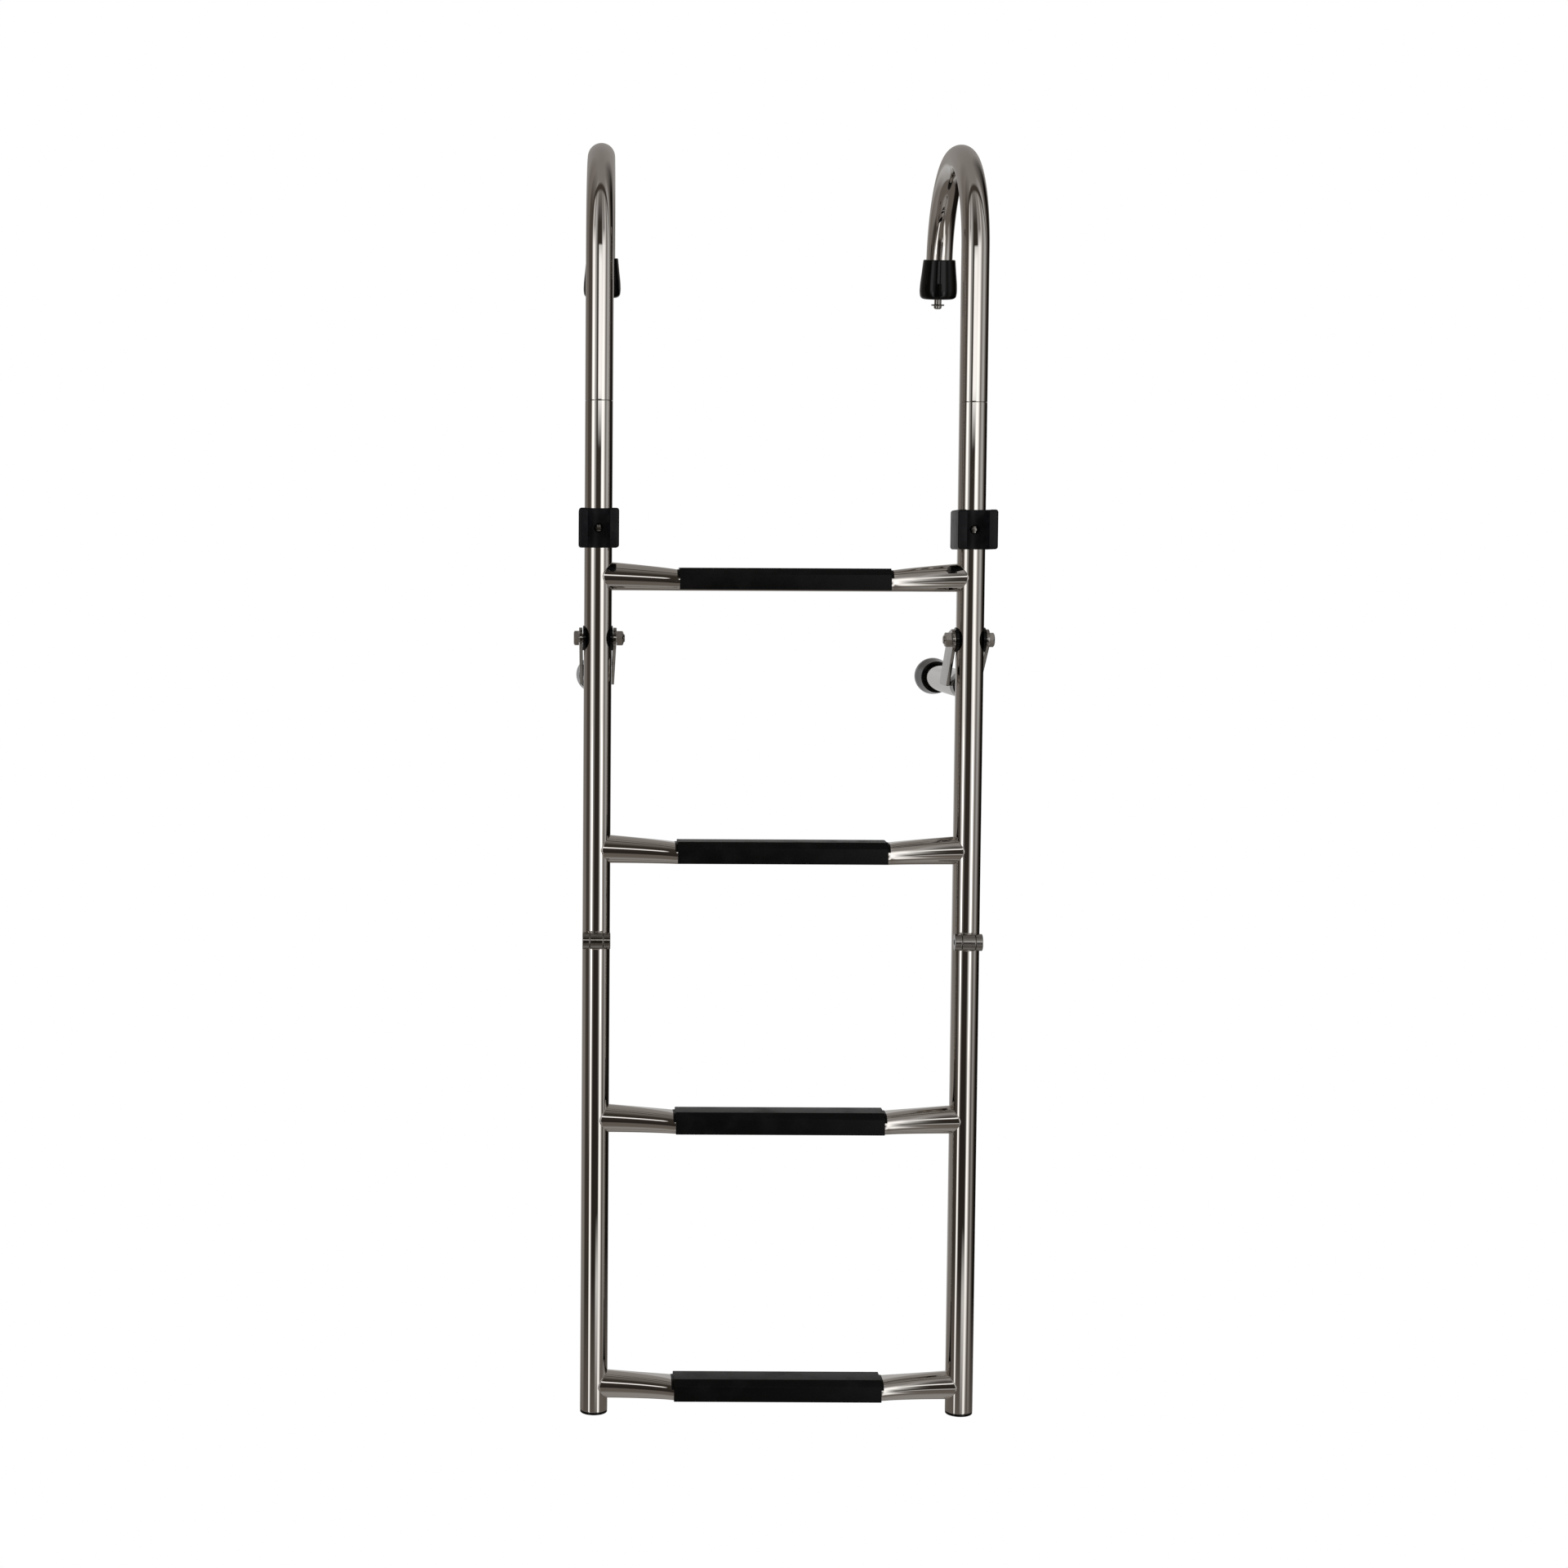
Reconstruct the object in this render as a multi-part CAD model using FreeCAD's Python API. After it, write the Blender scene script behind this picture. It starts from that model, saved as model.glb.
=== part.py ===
import FreeCAD, Part
import math
import os

# A hook-on boat ladder: two hooked rails, four flattened rungs with clip-on treads, a folding lower half
# that snaps into clips on the upper rails, and two swinging stand-off legs with rubber feet.
# Millimetres. X runs across the ladder, Z points up, and +Y points away from the climber, over the gunwale.
# The origin is midway between the hooks, where their inner crowns rest on the gunwale.

# Tubes and overall layout
tube_d = 25.4
tube_wall = 1.2
rail_spacing = 340.0
rung_pitch = 250.0
rung_count_upper = 2
rung_count_lower = 2

# Heights along the rail, measured from the centre of the top rung
hook_spring_above_rung = 296.0
seam_above_rung = 158.0
clip_above_rung = 42.6
bolt_below_rung = 57.5
hinge_below_rung = 333.8
rail_end_below_last_rung = 25.0

# Hooks
hook_bend_r = 95.0
hook_bend_deg = 172.0
hook_toe_in_deg = 1.5
sleeve_depth = 40.0

# Rubber tips, the same moulding under the hooks and on the stand-off legs
tip_mouth_wall = 2.9
tip_base_wall = 5.8
tip_length = 38.4
tip_floor = 4.5
tip_edge_r = 4.0
tip_mouth_edge_r = 0.8

# Screw that stands out under each hook tip
stud_neck_d = 7.0
stud_neck_length = 6.5
stud_washer_d = 13.0
stud_washer_t = 1.3
stud_head_d = 7.5
stud_head_t = 3.7
stud_plug_t = 14.0
stud_edge = 0.8

# Rungs, pressed from round tube
rung_flat_h = 16.6
rung_flat_past_tread = 1.0
rung_round_length = 13.0
rung_end_press = 0.2
rung_press_curve = 0.8

# Treads
tread_length = 192.0
tread_skirt = 2.2
tread_top_t = 3.2
tread_chamfer_y = 5.0
tread_chamfer_z = 5.6
tread_edge_r = 0.8
tread_slot = 22.0
tread_collar_out = 2.4
tread_collar_t = 1.1
tread_collar_gap = 0.6

# Fold hinge
fold_gap = 5.6
hinge_barrel_d = 15.5
hinge_middle = 12.0
hinge_pin_d = 5.0
hinge_pin_recess = 1.5
hinge_spigot = 24.0

# Clips that catch the folded rails
clip_wall = 5.4
clip_height = 35.6
clip_behind_rail = 9.5
clip_corner_r = 4.0
clip_edge_r = 1.0
clip_lip_grip = 2.6
clip_hole_d = 4.4
clip_screw_d = 4.2
clip_head_d = 7.6
clip_head_t = 2.2
clip_recess_d = 9.0
clip_recess_t = 2.5
clip_screw_length = 9.0
clip_screw_point = 1.5

# Stand-off legs
leg_drop = 42.5
leg_foot_y = 238.0
leg_bumper_length = 21.0
leg_bumper_edge_r = 2.0
leg_plug_depth = 18.0
strap_head_r = 9.7
strap_shoulder_back = 20.5
strap_shoulder_up = 6.2
strap_weld_length = 45.5
strap_weld_start = 0.5
strap_below_axis = 1.5
strap_corner_r = 3.0
strap_t = 3.0
strap_edge_r = 0.4
spacer_t = 0.9
bolt_d = 8.0
bolt_head_af = 13.0
bolt_head_t = 4.8
nut_t = 6.2
bolt_end_out = 1.2
bolt_end_chamfer = 0.8
hex_chamfer_t = 1.4
hex_chamfer_r = 5.4
spacer_d = 22.6
spacer_wrap = 1.5

# Rail end plugs
plug_flange_t = 2.5
plug_depth = 20.0
plug_edge_r = 0.8

# Fits
seat_gap = 0.1
turn_gap = 0.3
pin_gap = 0.05
bolt_gap = 0.08
snap_gap = 0.2
face_gap = 0.3

# Sizes that follow from the ones above
tube_r = tube_d / 2
bore_r = tube_r - tube_wall
spigot_r = bore_r - seat_gap
rail_x = rail_spacing / 2
rail_y = -hook_bend_r
tube_perimeter = math.pi * tube_d
rung_end_h = tube_d - rung_end_press
rung_flat_from = tread_length / 2 + rung_flat_past_tread
rung_round_from = rail_x - rung_round_length
hinge_forward = tube_r + fold_gap / 2
hinge_length = tube_d
strap_inner = tube_r + spacer_t + face_gap
spring_z = tube_r - hook_bend_r
rung_1_z = spring_z - hook_spring_above_rung
last_rung_z = rung_1_z - (rung_count_upper + rung_count_lower - 1) * rung_pitch
seam_z = rung_1_z + seam_above_rung
clip_z = rung_1_z + clip_above_rung
bolt_z = rung_1_z - bolt_below_rung
leg_z = bolt_z - leg_drop
hinge_z = rung_1_z - hinge_below_rung
hinge_y = rail_y - hinge_forward
folded_y = rail_y - 2 * hinge_forward
rail_end_z = last_rung_z - rail_end_below_last_rung

X = FreeCAD.Vector(1, 0, 0)
Y = FreeCAD.Vector(0, 1, 0)
Z = FreeCAD.Vector(0, 0, 1)


def at(x, y, z):
    return FreeCAD.Vector(x, y, z)


def rod(radius, start, direction, length):
    """A solid cylinder from a point along a direction."""
    return Part.makeCylinder(radius, length, start, direction)


def pipe(start, direction, length):
    """A length of the ladder's tube."""
    return rod(tube_r, start, direction, length).cut(rod(bore_r, start, direction, length))


def across(radius, x0, x1, y, z):
    """A cylinder along X between two x positions."""
    return rod(radius, at(min(x0, x1), y, z), X, abs(x1 - x0))


def turned(outline, start, direction):
    """A solid of revolution. The outline lists (distance along the axis, radius)."""
    first = at(outline[0][1], 0, outline[0][0])
    wire = Part.makePolygon([at(r, 0, s) for s, r in outline] + [first])
    solid = Part.Face(wire).revolve(at(0, 0, 0), Z, 360)
    solid.Placement = FreeCAD.Placement(start, FreeCAD.Rotation(Z, direction))
    return solid


# Hooked top of each rail


def toed_in(shape, x):
    """Turns a hook's piece about its rail, so that the two tips stand a little nearer to each other."""
    shape.rotate(at(x, rail_y, 0), Z, hook_toe_in_deg if x > 0 else -hook_toe_in_deg)
    return shape


def hook_tip_frame(x):
    """The point where the hook's bend ends, and the direction in which the tip goes on."""
    left = math.radians(180 - hook_bend_deg)
    point = at(x, hook_bend_r * math.cos(left), spring_z + hook_bend_r * math.sin(left))
    return point, at(0, math.sin(left), -math.cos(left))


def hook_tube(x):
    """Straight leg, bend and short tip, with a reduced sleeve that plugs into the rail."""
    foot = at(x, rail_y, seam_z)
    leg = pipe(foot, Z, spring_z - seam_z)
    top = at(x, rail_y, spring_z)
    outer = Part.Wire(Part.makeCircle(tube_r, top, Z))
    inner = Part.Wire(Part.makeCircle(bore_r, top, Z))
    ring = Part.Face([outer, inner])
    bend = ring.revolve(at(x, 0, spring_z), -X, hook_bend_deg)
    tip_start, tip_direction = hook_tip_frame(x)
    tip = pipe(tip_start, tip_direction, tip_length - tip_floor)
    below = at(x, rail_y, seam_z - sleeve_depth)
    sleeve = rod(spigot_r, below, Z, sleeve_depth + 2 * tube_wall)
    sleeve = sleeve.cut(rod(spigot_r - tube_wall, below, Z, sleeve_depth + 2 * tube_wall))
    step = rod(bore_r, foot, Z, 2 * tube_wall).cut(rod(spigot_r - tube_wall, foot, Z, 2 * tube_wall))
    collar = pipe(foot, Z, 2 * tube_wall).fuse([sleeve, step])
    return leg.fuse([bend, tip, collar]).removeSplitter()


def rubber_tip(start, direction):
    """A crutch tip: a tapered cup with a thick floor and a rounded base edge."""
    mouth_r = tube_r + tip_mouth_wall
    base_r = tube_r + tip_base_wall
    outer = turned([(0, 0), (0, mouth_r), (tip_length, base_r), (tip_length, 0)], start, direction)
    outer = outer.makeFillet(tip_edge_r, [e for e in outer.Edges if is_ring(e, base_r)])
    outer = outer.makeFillet(tip_mouth_edge_r, [e for e in outer.Edges if is_ring(e, mouth_r)])
    return outer.cut(rod(tube_r + seat_gap, start, direction, tip_length - tip_floor))


def is_ring(edge, radius):
    return isinstance(edge.Curve, Part.Circle) and abs(edge.Curve.Radius - radius) < 1e-6


def edge_way(edge):
    """The direction in which an edge sets off."""
    return edge.tangentAt(edge.FirstParameter)


def hook_cap(x):
    start, direction = hook_tip_frame(x)
    cap = rubber_tip(start, direction)
    return cap.cut(rod(stud_neck_d / 2 + seat_gap, start, direction, tip_length + 1))


def hook_stud(x):
    """The screw under the hook: a plug inside the tube, a neck, a thin washer and a head."""
    start, direction = hook_tip_frame(x)
    plug_end = tip_length - tip_floor - seat_gap
    neck_end = tip_length + stud_neck_length
    washer_end = neck_end + stud_washer_t
    head_end = washer_end + stud_head_t
    outline = [(plug_end - stud_plug_t, 0), (plug_end - stud_plug_t, spigot_r), (plug_end, spigot_r)]
    outline += [(plug_end, stud_neck_d / 2), (neck_end, stud_neck_d / 2), (neck_end, stud_washer_d / 2)]
    outline += [(washer_end, stud_washer_d / 2), (washer_end, stud_head_d / 2)]
    outline += [(head_end - stud_edge, stud_head_d / 2), (head_end, stud_head_d / 2 - stud_edge)]
    outline += [(head_end, 0)]
    return turned(outline, start, direction)


# Rails


def hinge_clearance(x):
    """The space that the hinge barrel turns in."""
    reach = tube_r + 1
    return across(hinge_barrel_d / 2 + turn_gap, x - reach, x + reach, hinge_y, hinge_z)


def upper_rail(x):
    bottom = hinge_z + turn_gap / 2
    rail = pipe(at(x, rail_y, bottom), Z, seam_z - bottom)
    bolt_hole = across(bolt_d / 2 + seat_gap, x - tube_d, x + tube_d, rail_y, bolt_z)
    screw_hole = rod(clip_screw_d / 2 + seat_gap, at(x, rail_y, clip_z), -Y, tube_d)
    return rail.cut([hinge_clearance(x), bolt_hole, screw_hole])


def lower_rail(x):
    top = hinge_z - turn_gap / 2
    rail = pipe(at(x, rail_y, rail_end_z), Z, top - rail_end_z)
    return rail.cut(hinge_clearance(x))


def foot_plug(x):
    """A push-in plug whose thin flange shows below the rail."""
    flange = rod(tube_r, at(x, rail_y, rail_end_z), -Z, plug_flange_t)
    rim = [e for e in flange.Edges if is_ring(e, tube_r) and e.Curve.Center.z < rail_end_z - 1]
    flange = flange.makeFillet(plug_edge_r, rim)
    return flange.fuse(rod(spigot_r, at(x, rail_y, rail_end_z), Z, plug_depth))


# Rungs and treads


def pressed_flat(height):
    """Half the flat that a tube gains when it is pressed to a height and keeps its perimeter."""
    return (tube_perimeter - math.pi * height) / 4


def pressed_half_depth(height):
    return pressed_flat(height) + height / 2


def pressed_outline(x, height, z_bottom, inset):
    """A pressed tube's outline: two half circles and two flats."""
    flat = pressed_flat(height)
    r = height / 2 - inset
    z = z_bottom + height / 2
    front, back = rail_y - flat, rail_y + flat
    top = Part.makeLine(at(x, front, z + r), at(x, back, z + r))
    rear = Part.Arc(at(x, back, z + r), at(x, back + r, z), at(x, back, z - r)).toShape()
    base = Part.makeLine(at(x, back, z - r), at(x, front, z - r))
    nose = Part.Arc(at(x, front, z - r), at(x, front - r, z), at(x, front, z + r)).toShape()
    return Part.Wire([top, rear, base, nose])


def pressed_height(share):
    """The height at a share of the way from the flat part to the round end: steepest beside the tread."""
    return rung_flat_h + (rung_end_h - rung_flat_h) * share**rung_press_curve


def pressed_bar(z_bottom, inset):
    """The rung's form from rail to rail: round ends that flatten towards the treads."""
    run = rung_round_from - rung_flat_from
    half = [(rung_flat_from + run * s, pressed_height(s)) for s in (0, 0.08, 0.25, 0.5, 1)]
    half.append((rail_x, rung_end_h))
    stations = [(-x, h) for x, h in reversed(half)] + half
    wires = [pressed_outline(x, h, z_bottom, inset) for x, h in stations]
    return Part.makeLoft(wires, True, True)


def rung(z):
    """A pressed tube with both ends coped to sit round the rails."""
    z_bottom = z - tube_r
    bar = pressed_bar(z_bottom, 0).cut(pressed_bar(z_bottom, tube_wall))
    copes = [rod(tube_r + seat_gap, at(side * rail_x, rail_y, z - tube_d), Z, 2 * tube_d) for side in (-1, 1)]
    return bar.cut(copes)


def pressed_strip(half_length, z_bottom, offset):
    """A straight bar along the rung's flat part, its outline set outwards by an offset."""
    outline = pressed_outline(-half_length, rung_flat_h, z_bottom, -offset)
    return Part.Face(outline).extrude(at(2 * half_length, 0, 0))


def tread_block(z_low):
    """The tread's outside: chamfered along the top, with its long edges rounded."""
    half = pressed_half_depth(rung_flat_h) + seat_gap + tread_skirt
    z_high = z_low + rung_flat_h + tread_top_t
    z_edge = z_high - tread_chamfer_z
    y_edge = half - tread_chamfer_y
    front = [(-y_edge, z_high), (-half, z_edge), (-half, z_low)]
    corners = front + [(-y, z) for y, z in reversed(front)]
    points = [at(-tread_length / 2, rail_y + y, z) for y, z in corners]
    block = Part.Face(Part.makePolygon(points + points[:1])).extrude(at(tread_length, 0, 0))
    return block.makeFillet(tread_edge_r, [e for e in block.Edges if abs(e.Length - tread_length) < 1e-6])


def tread_collar(z_low):
    """A thin collar that stands out at both ends over the rung's top, clear of where the rung gets higher."""
    half = tread_length / 2 + tread_collar_out
    collar = pressed_strip(half, z_low, tread_collar_gap + tread_collar_t)
    collar = collar.cut(pressed_strip(half, z_low, tread_collar_gap))
    low_corner = at(-half, rail_y - tube_d, z_low - rung_flat_h / 3)
    return collar.cut(Part.makeBox(2 * half, 2 * tube_d, rung_flat_h, low_corner))


def tread(z):
    """A snap-on tread: skirts that curl under the rung's round edges, and a slot between them."""
    z_low = z - tube_r
    half = tread_length / 2 + 1
    seat = pressed_strip(half, z_low, seat_gap)
    slot = Part.makeBox(2 * half, tread_slot, rung_flat_h / 2, at(-half, rail_y - tread_slot / 2, z_low - 1))
    body = tread_block(z_low).cut([seat, slot])
    core = pressed_strip(tread_length / 2 - tread_collar_t, z_low, tread_collar_gap + 2 * tread_collar_t)
    return body.fuse(tread_collar(z_low).cut(core)).removeSplitter()


# Fold hinges


def knuckle(x, from_centre, to_centre):
    return across(hinge_barrel_d / 2, x + from_centre, x + to_centre, hinge_y, hinge_z)


def hinge_bore(x):
    return across(hinge_pin_d / 2 + pin_gap, x - hinge_length, x + hinge_length, hinge_y, hinge_z)


def middle_gap(x):
    """Room for the middle knuckle between the outer two."""
    half = hinge_middle / 2 + turn_gap
    return across(hinge_barrel_d / 2 + turn_gap, x - half, x + half, hinge_y, hinge_z)


def outer_gap(x, side):
    """Room for one outer knuckle beside the middle one."""
    inner = hinge_middle / 2
    return across(hinge_barrel_d / 2 + turn_gap, x + side * inner, x + side * (tube_r + 1), hinge_y, hinge_z)


def hinge_upper(x):
    """A spigot in the upper rail that carries the two outer knuckles."""
    inner = hinge_middle / 2 + turn_gap
    outer = hinge_length / 2
    spigot = rod(spigot_r, at(x, rail_y, hinge_z + turn_gap / 2), Z, hinge_spigot)
    leaf = spigot.fuse([knuckle(x, inner, outer), knuckle(x, -inner, -outer)])
    return leaf.cut([middle_gap(x), hinge_bore(x)])


def hinge_lower(x):
    """A spigot in the lower rail that carries the middle knuckle."""
    half = hinge_middle / 2
    spigot = rod(spigot_r, at(x, rail_y, hinge_z - turn_gap / 2), -Z, hinge_spigot)
    leaf = spigot.cut([outer_gap(x, 1), outer_gap(x, -1)]).fuse(knuckle(x, -half, half))
    return leaf.cut(hinge_bore(x))


def hinge_pin(x):
    half = hinge_length / 2 - hinge_pin_recess
    return across(hinge_pin_d / 2, x - half, x + half, hinge_y, hinge_z)


# Clips


def clip_front_y():
    """The clip ends where its round seat has narrowed to the mouth's width."""
    seat_r = tube_r + snap_gap
    half_mouth = tube_r - clip_lip_grip
    return folded_y - math.sqrt(seat_r**2 - half_mouth**2)


def clip(x):
    """A block with two round seats: one grips the rail, the open one snaps over the folded rail."""
    back = rail_y + clip_behind_rail
    front = clip_front_y()
    half = tube_r + clip_wall
    z0 = clip_z - clip_height / 2
    block = Part.makeBox(2 * half, back - front, clip_height, at(x - half, front, z0))
    block = block.makeFillet(clip_corner_r, [e for e in block.Edges if abs(edge_way(e).z) > 0.99])
    block = block.makeFillet(clip_edge_r, [e for e in block.Edges if abs(edge_way(e).z) < 0.01])
    rail_seat = rod(tube_r + seat_gap, at(x, rail_y, z0 - 1), Z, clip_height + 2)
    snap_seat = rod(tube_r + snap_gap, at(x, folded_y, z0 - 1), Z, clip_height + 2)
    hole = rod(clip_hole_d / 2, at(x, rail_y, clip_z), -Y, 2 * hinge_forward)
    recess = rod(clip_recess_d / 2, at(x, clip_recess_floor(), clip_z), -Y, tube_r)
    return block.cut([rail_seat, snap_seat, hole, recess])


def clip_recess_floor():
    return folded_y + tube_r + snap_gap + clip_recess_t


def clip_screw(x):
    """A round-headed screw, sunk so that the folded rail clears it."""
    floor = clip_recess_floor()
    head_r = clip_head_d / 2
    outline = [(-clip_screw_length, 0), (-clip_screw_length, clip_screw_d / 2 - 0.6)]
    outline += [(-clip_screw_length + clip_screw_point, clip_screw_d / 2), (0, clip_screw_d / 2), (0, head_r)]
    outline += [(clip_head_t * 0.5, head_r), (clip_head_t, head_r * 0.7), (clip_head_t, 0)]
    return turned(outline, at(x, floor, clip_z), -Y)


# Stand-off legs


def touch_point(y, z, turn):
    """Where a line from a point touches the strap's round head, above it (turn 1) or below it (turn -1)."""
    angle = math.atan2(z, y) + turn * math.acos(strap_head_r / math.hypot(y, z))
    return strap_head_r * math.cos(angle), strap_head_r * math.sin(angle)


def strap_plate():
    """One strap, flat in the YZ plane and measured from the bolt: a round head and a wide welded foot."""
    weld_y = leg_start_y() - rail_y + strap_weld_start
    weld_z = -leg_drop - strap_below_axis
    shoulder = (strap_shoulder_back, strap_shoulder_up)
    corners = [touch_point(*shoulder, 1), shoulder, (weld_y + strap_weld_length, weld_z), (weld_y, weld_z)]
    corners.append(touch_point(weld_y, weld_z, -1))
    points = [at(0, y, z) for y, z in corners]
    web = Part.Face(Part.makePolygon(points + points[:1])).extrude(at(strap_t, 0, 0))
    web = web.makeFillet(strap_corner_r, [e for e in web.Edges if is_strap_corner(e, points)])
    plate = web.fuse(Part.makeCylinder(strap_head_r, strap_t, at(0, 0, 0), X)).removeSplitter()
    return plate.makeFillet(strap_edge_r, [e for e in plate.Edges if abs(edge_way(e).x) < 0.01])


def is_strap_corner(edge, points):
    """True for the edges through the plate at its three free corners."""
    middle = edge.CenterOfMass
    return any((middle - p - at(strap_t / 2, 0, 0)).Length < 1e-6 for p in points[1:4])


def strap(x, side):
    """The plate beside the rail, leaning in a little so that its lower edge meets the leg tube."""
    plate = strap_plate()
    lean_in = math.degrees(math.atan2(strap_inner - tube_r - seat_gap, leg_drop + strap_below_axis))
    if side < 0:
        plate.translate(at(-strap_t, 0, 0))
    plate.rotate(at(0, 0, 0), Y, side * lean_in)
    plate.translate(at(x + side * strap_inner, rail_y, bolt_z))
    return plate.cut(across(bolt_d / 2 + bolt_gap, x, x + side * 2 * tube_d, rail_y, bolt_z))


def straps(x):
    return Part.makeCompound([strap(x, -1), strap(x, 1)])


def leg_start_y():
    return rail_y + tube_r + turn_gap + leg_bumper_length


def leg_end_y():
    return rail_y + leg_foot_y - tip_floor


def leg_tube(x):
    start = leg_start_y()
    return pipe(at(x, start, leg_z), Y, leg_end_y() - start)


def leg_foot(x):
    return rubber_tip(at(x, rail_y + leg_foot_y - tip_length, leg_z), Y)


def leg_bumper(x):
    """A rubber plug in the leg's near end that rests against the back of the rail."""
    start = leg_start_y()
    nose = rod(tube_r, at(x, start - leg_bumper_length, leg_z), Y, leg_bumper_length)
    rim = [e for e in nose.Edges if is_ring(e, tube_r) and e.Curve.Center.y < start - 1]
    nose = nose.makeFillet(leg_bumper_edge_r, rim)
    return nose.fuse(rod(spigot_r, at(x, start, leg_z), Y, leg_plug_depth))


def hexagon(start, outward, length):
    """A hexagonal head or nut on the pivot's axis, its corners turned off at the outer end."""
    centre = at(start, rail_y, bolt_z)
    corner_r = bolt_head_af / math.sqrt(3)
    corners = [centre + at(0, corner_r * math.cos(a), corner_r * math.sin(a)) for a in hexagon_angles()]
    prism = Part.Face(Part.makePolygon(corners + corners[:1])).extrude(at(outward * length, 0, 0))
    shoulder = length - hex_chamfer_t
    outline = [(-1, 0), (-1, corner_r + 1), (shoulder, corner_r + 1), (shoulder, corner_r)]
    outline += [(length, hex_chamfer_r), (length, 0)]
    return prism.common(turned(outline, centre, at(outward, 0, 0)))


def hexagon_angles():
    return [math.radians(60 * i) for i in range(6)]


def pivot_bolt(x, outward):
    """A bolt through rail and straps: head on the outer side, nut towards the rungs."""
    face = strap_inner + strap_t + face_gap
    length = 2 * face + nut_t + bolt_end_out
    tip_r = bolt_d / 2 - bolt_end_chamfer
    outline = [(0, 0), (0, bolt_d / 2), (length - bolt_end_chamfer, bolt_d / 2), (length, tip_r), (length, 0)]
    shank = turned(outline, at(x + outward * face, rail_y, bolt_z), at(-outward, 0, 0))
    head = hexagon(x + outward * face, outward, bolt_head_t)
    nut = hexagon(x - outward * face, -outward, nut_t)
    return shank.fuse([head, nut])


def pivot_spacers(x):
    """Saddle washers that fill the space between the round rail and the flat straps."""
    face = strap_inner - face_gap
    rail = rod(tube_r + seat_gap, at(x, rail_y, bolt_z - spacer_d), Z, 2 * spacer_d)
    bolt = across(bolt_d / 2 + seat_gap, x - tube_d, x + tube_d, rail_y, bolt_z)
    from_x = tube_r - spacer_wrap
    saddles = [across(spacer_d / 2, x + side * from_x, x + side * face, rail_y, bolt_z) for side in (-1, 1)]
    return Part.makeCompound([outer_solid(s.cut([rail, bolt])) for s in saddles])


def outer_solid(shape):
    """The largest solid of a cut, when the cut leaves a stray core behind."""
    return max(shape.Solids, key=lambda s: s.Volume)


def nodes():
    parts = {}
    for name, side in (("left", -1), ("right", 1)):
        x = side * rail_x
        parts[name + "_upper_rail"] = upper_rail(x)
        parts[name + "_hook_tube"] = toed_in(hook_tube(x), x)
        parts[name + "_hook_cap"] = toed_in(hook_cap(x), x)
        parts[name + "_hook_stud"] = toed_in(hook_stud(x), x)
        parts[name + "_clip"] = clip(x)
        parts[name + "_clip_screw"] = clip_screw(x)
        parts[name + "_hinge_upper"] = hinge_upper(x)
        parts[name + "_hinge_pin"] = hinge_pin(x)
        parts[name + "_pivot_bolt"] = pivot_bolt(x, side)
        parts[name + "_pivot_spacers"] = pivot_spacers(x)
        parts[name + "_lower_rail"] = lower_rail(x)
        parts[name + "_hinge_lower"] = hinge_lower(x)
        parts[name + "_foot_plug"] = foot_plug(x)
        parts[name + "_leg_tube"] = leg_tube(x)
        parts[name + "_leg_straps"] = straps(x)
        parts[name + "_leg_foot"] = leg_foot(x)
        parts[name + "_leg_bumper"] = leg_bumper(x)
    for i in range(rung_count_upper + rung_count_lower):
        z = rung_1_z - i * rung_pitch
        parts["rung_%d" % (i + 1)] = rung(z)
        parts["tread_%d" % (i + 1)] = tread(z)
    return parts


os.makedirs("parts", exist_ok=True)
for node, shape in nodes().items():
    if not shape.isValid():
        print("not valid:", node)
    print(node, len(shape.Solids), "solids", round(shape.Volume), "mm3")
    shape.exportStep("parts/" + node + ".step")
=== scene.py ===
# %% [markdown]
# # A hook-on boat ladder
#
# Two hooked rails of polished stainless tube carry four pressed rungs. The lower half folds up on
# two hinges, and two stand-off legs swing on bolts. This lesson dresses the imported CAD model:
# shapes that a mirror finish would betray are made again here, finely enough, in the very same
# places.

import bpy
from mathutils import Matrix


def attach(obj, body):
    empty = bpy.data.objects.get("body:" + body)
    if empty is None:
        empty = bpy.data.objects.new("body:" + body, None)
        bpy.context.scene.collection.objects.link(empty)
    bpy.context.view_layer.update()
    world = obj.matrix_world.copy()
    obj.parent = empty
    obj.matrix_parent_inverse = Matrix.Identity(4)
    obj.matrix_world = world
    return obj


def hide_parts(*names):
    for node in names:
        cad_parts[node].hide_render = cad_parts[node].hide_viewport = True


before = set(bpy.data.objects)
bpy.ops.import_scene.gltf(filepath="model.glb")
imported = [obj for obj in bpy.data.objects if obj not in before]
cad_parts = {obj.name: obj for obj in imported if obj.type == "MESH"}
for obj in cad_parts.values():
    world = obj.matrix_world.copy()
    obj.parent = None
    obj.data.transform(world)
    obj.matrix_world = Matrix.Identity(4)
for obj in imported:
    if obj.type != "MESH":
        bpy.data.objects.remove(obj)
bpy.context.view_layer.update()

import math

import bpy
from mathutils import Matrix, Vector

# %% [markdown]
# ## Sizes
# The drawing is in millimetres and Blender is in metres, so one helper turns points over. The
# sizes are the ladder's own: the tube, where the rails stand, how the hooks bend, and the heights
# of seam, clip, bolt, hinge and rungs. Height 0 is the underside of the hooks' bends, where the
# ladder hangs.

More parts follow.
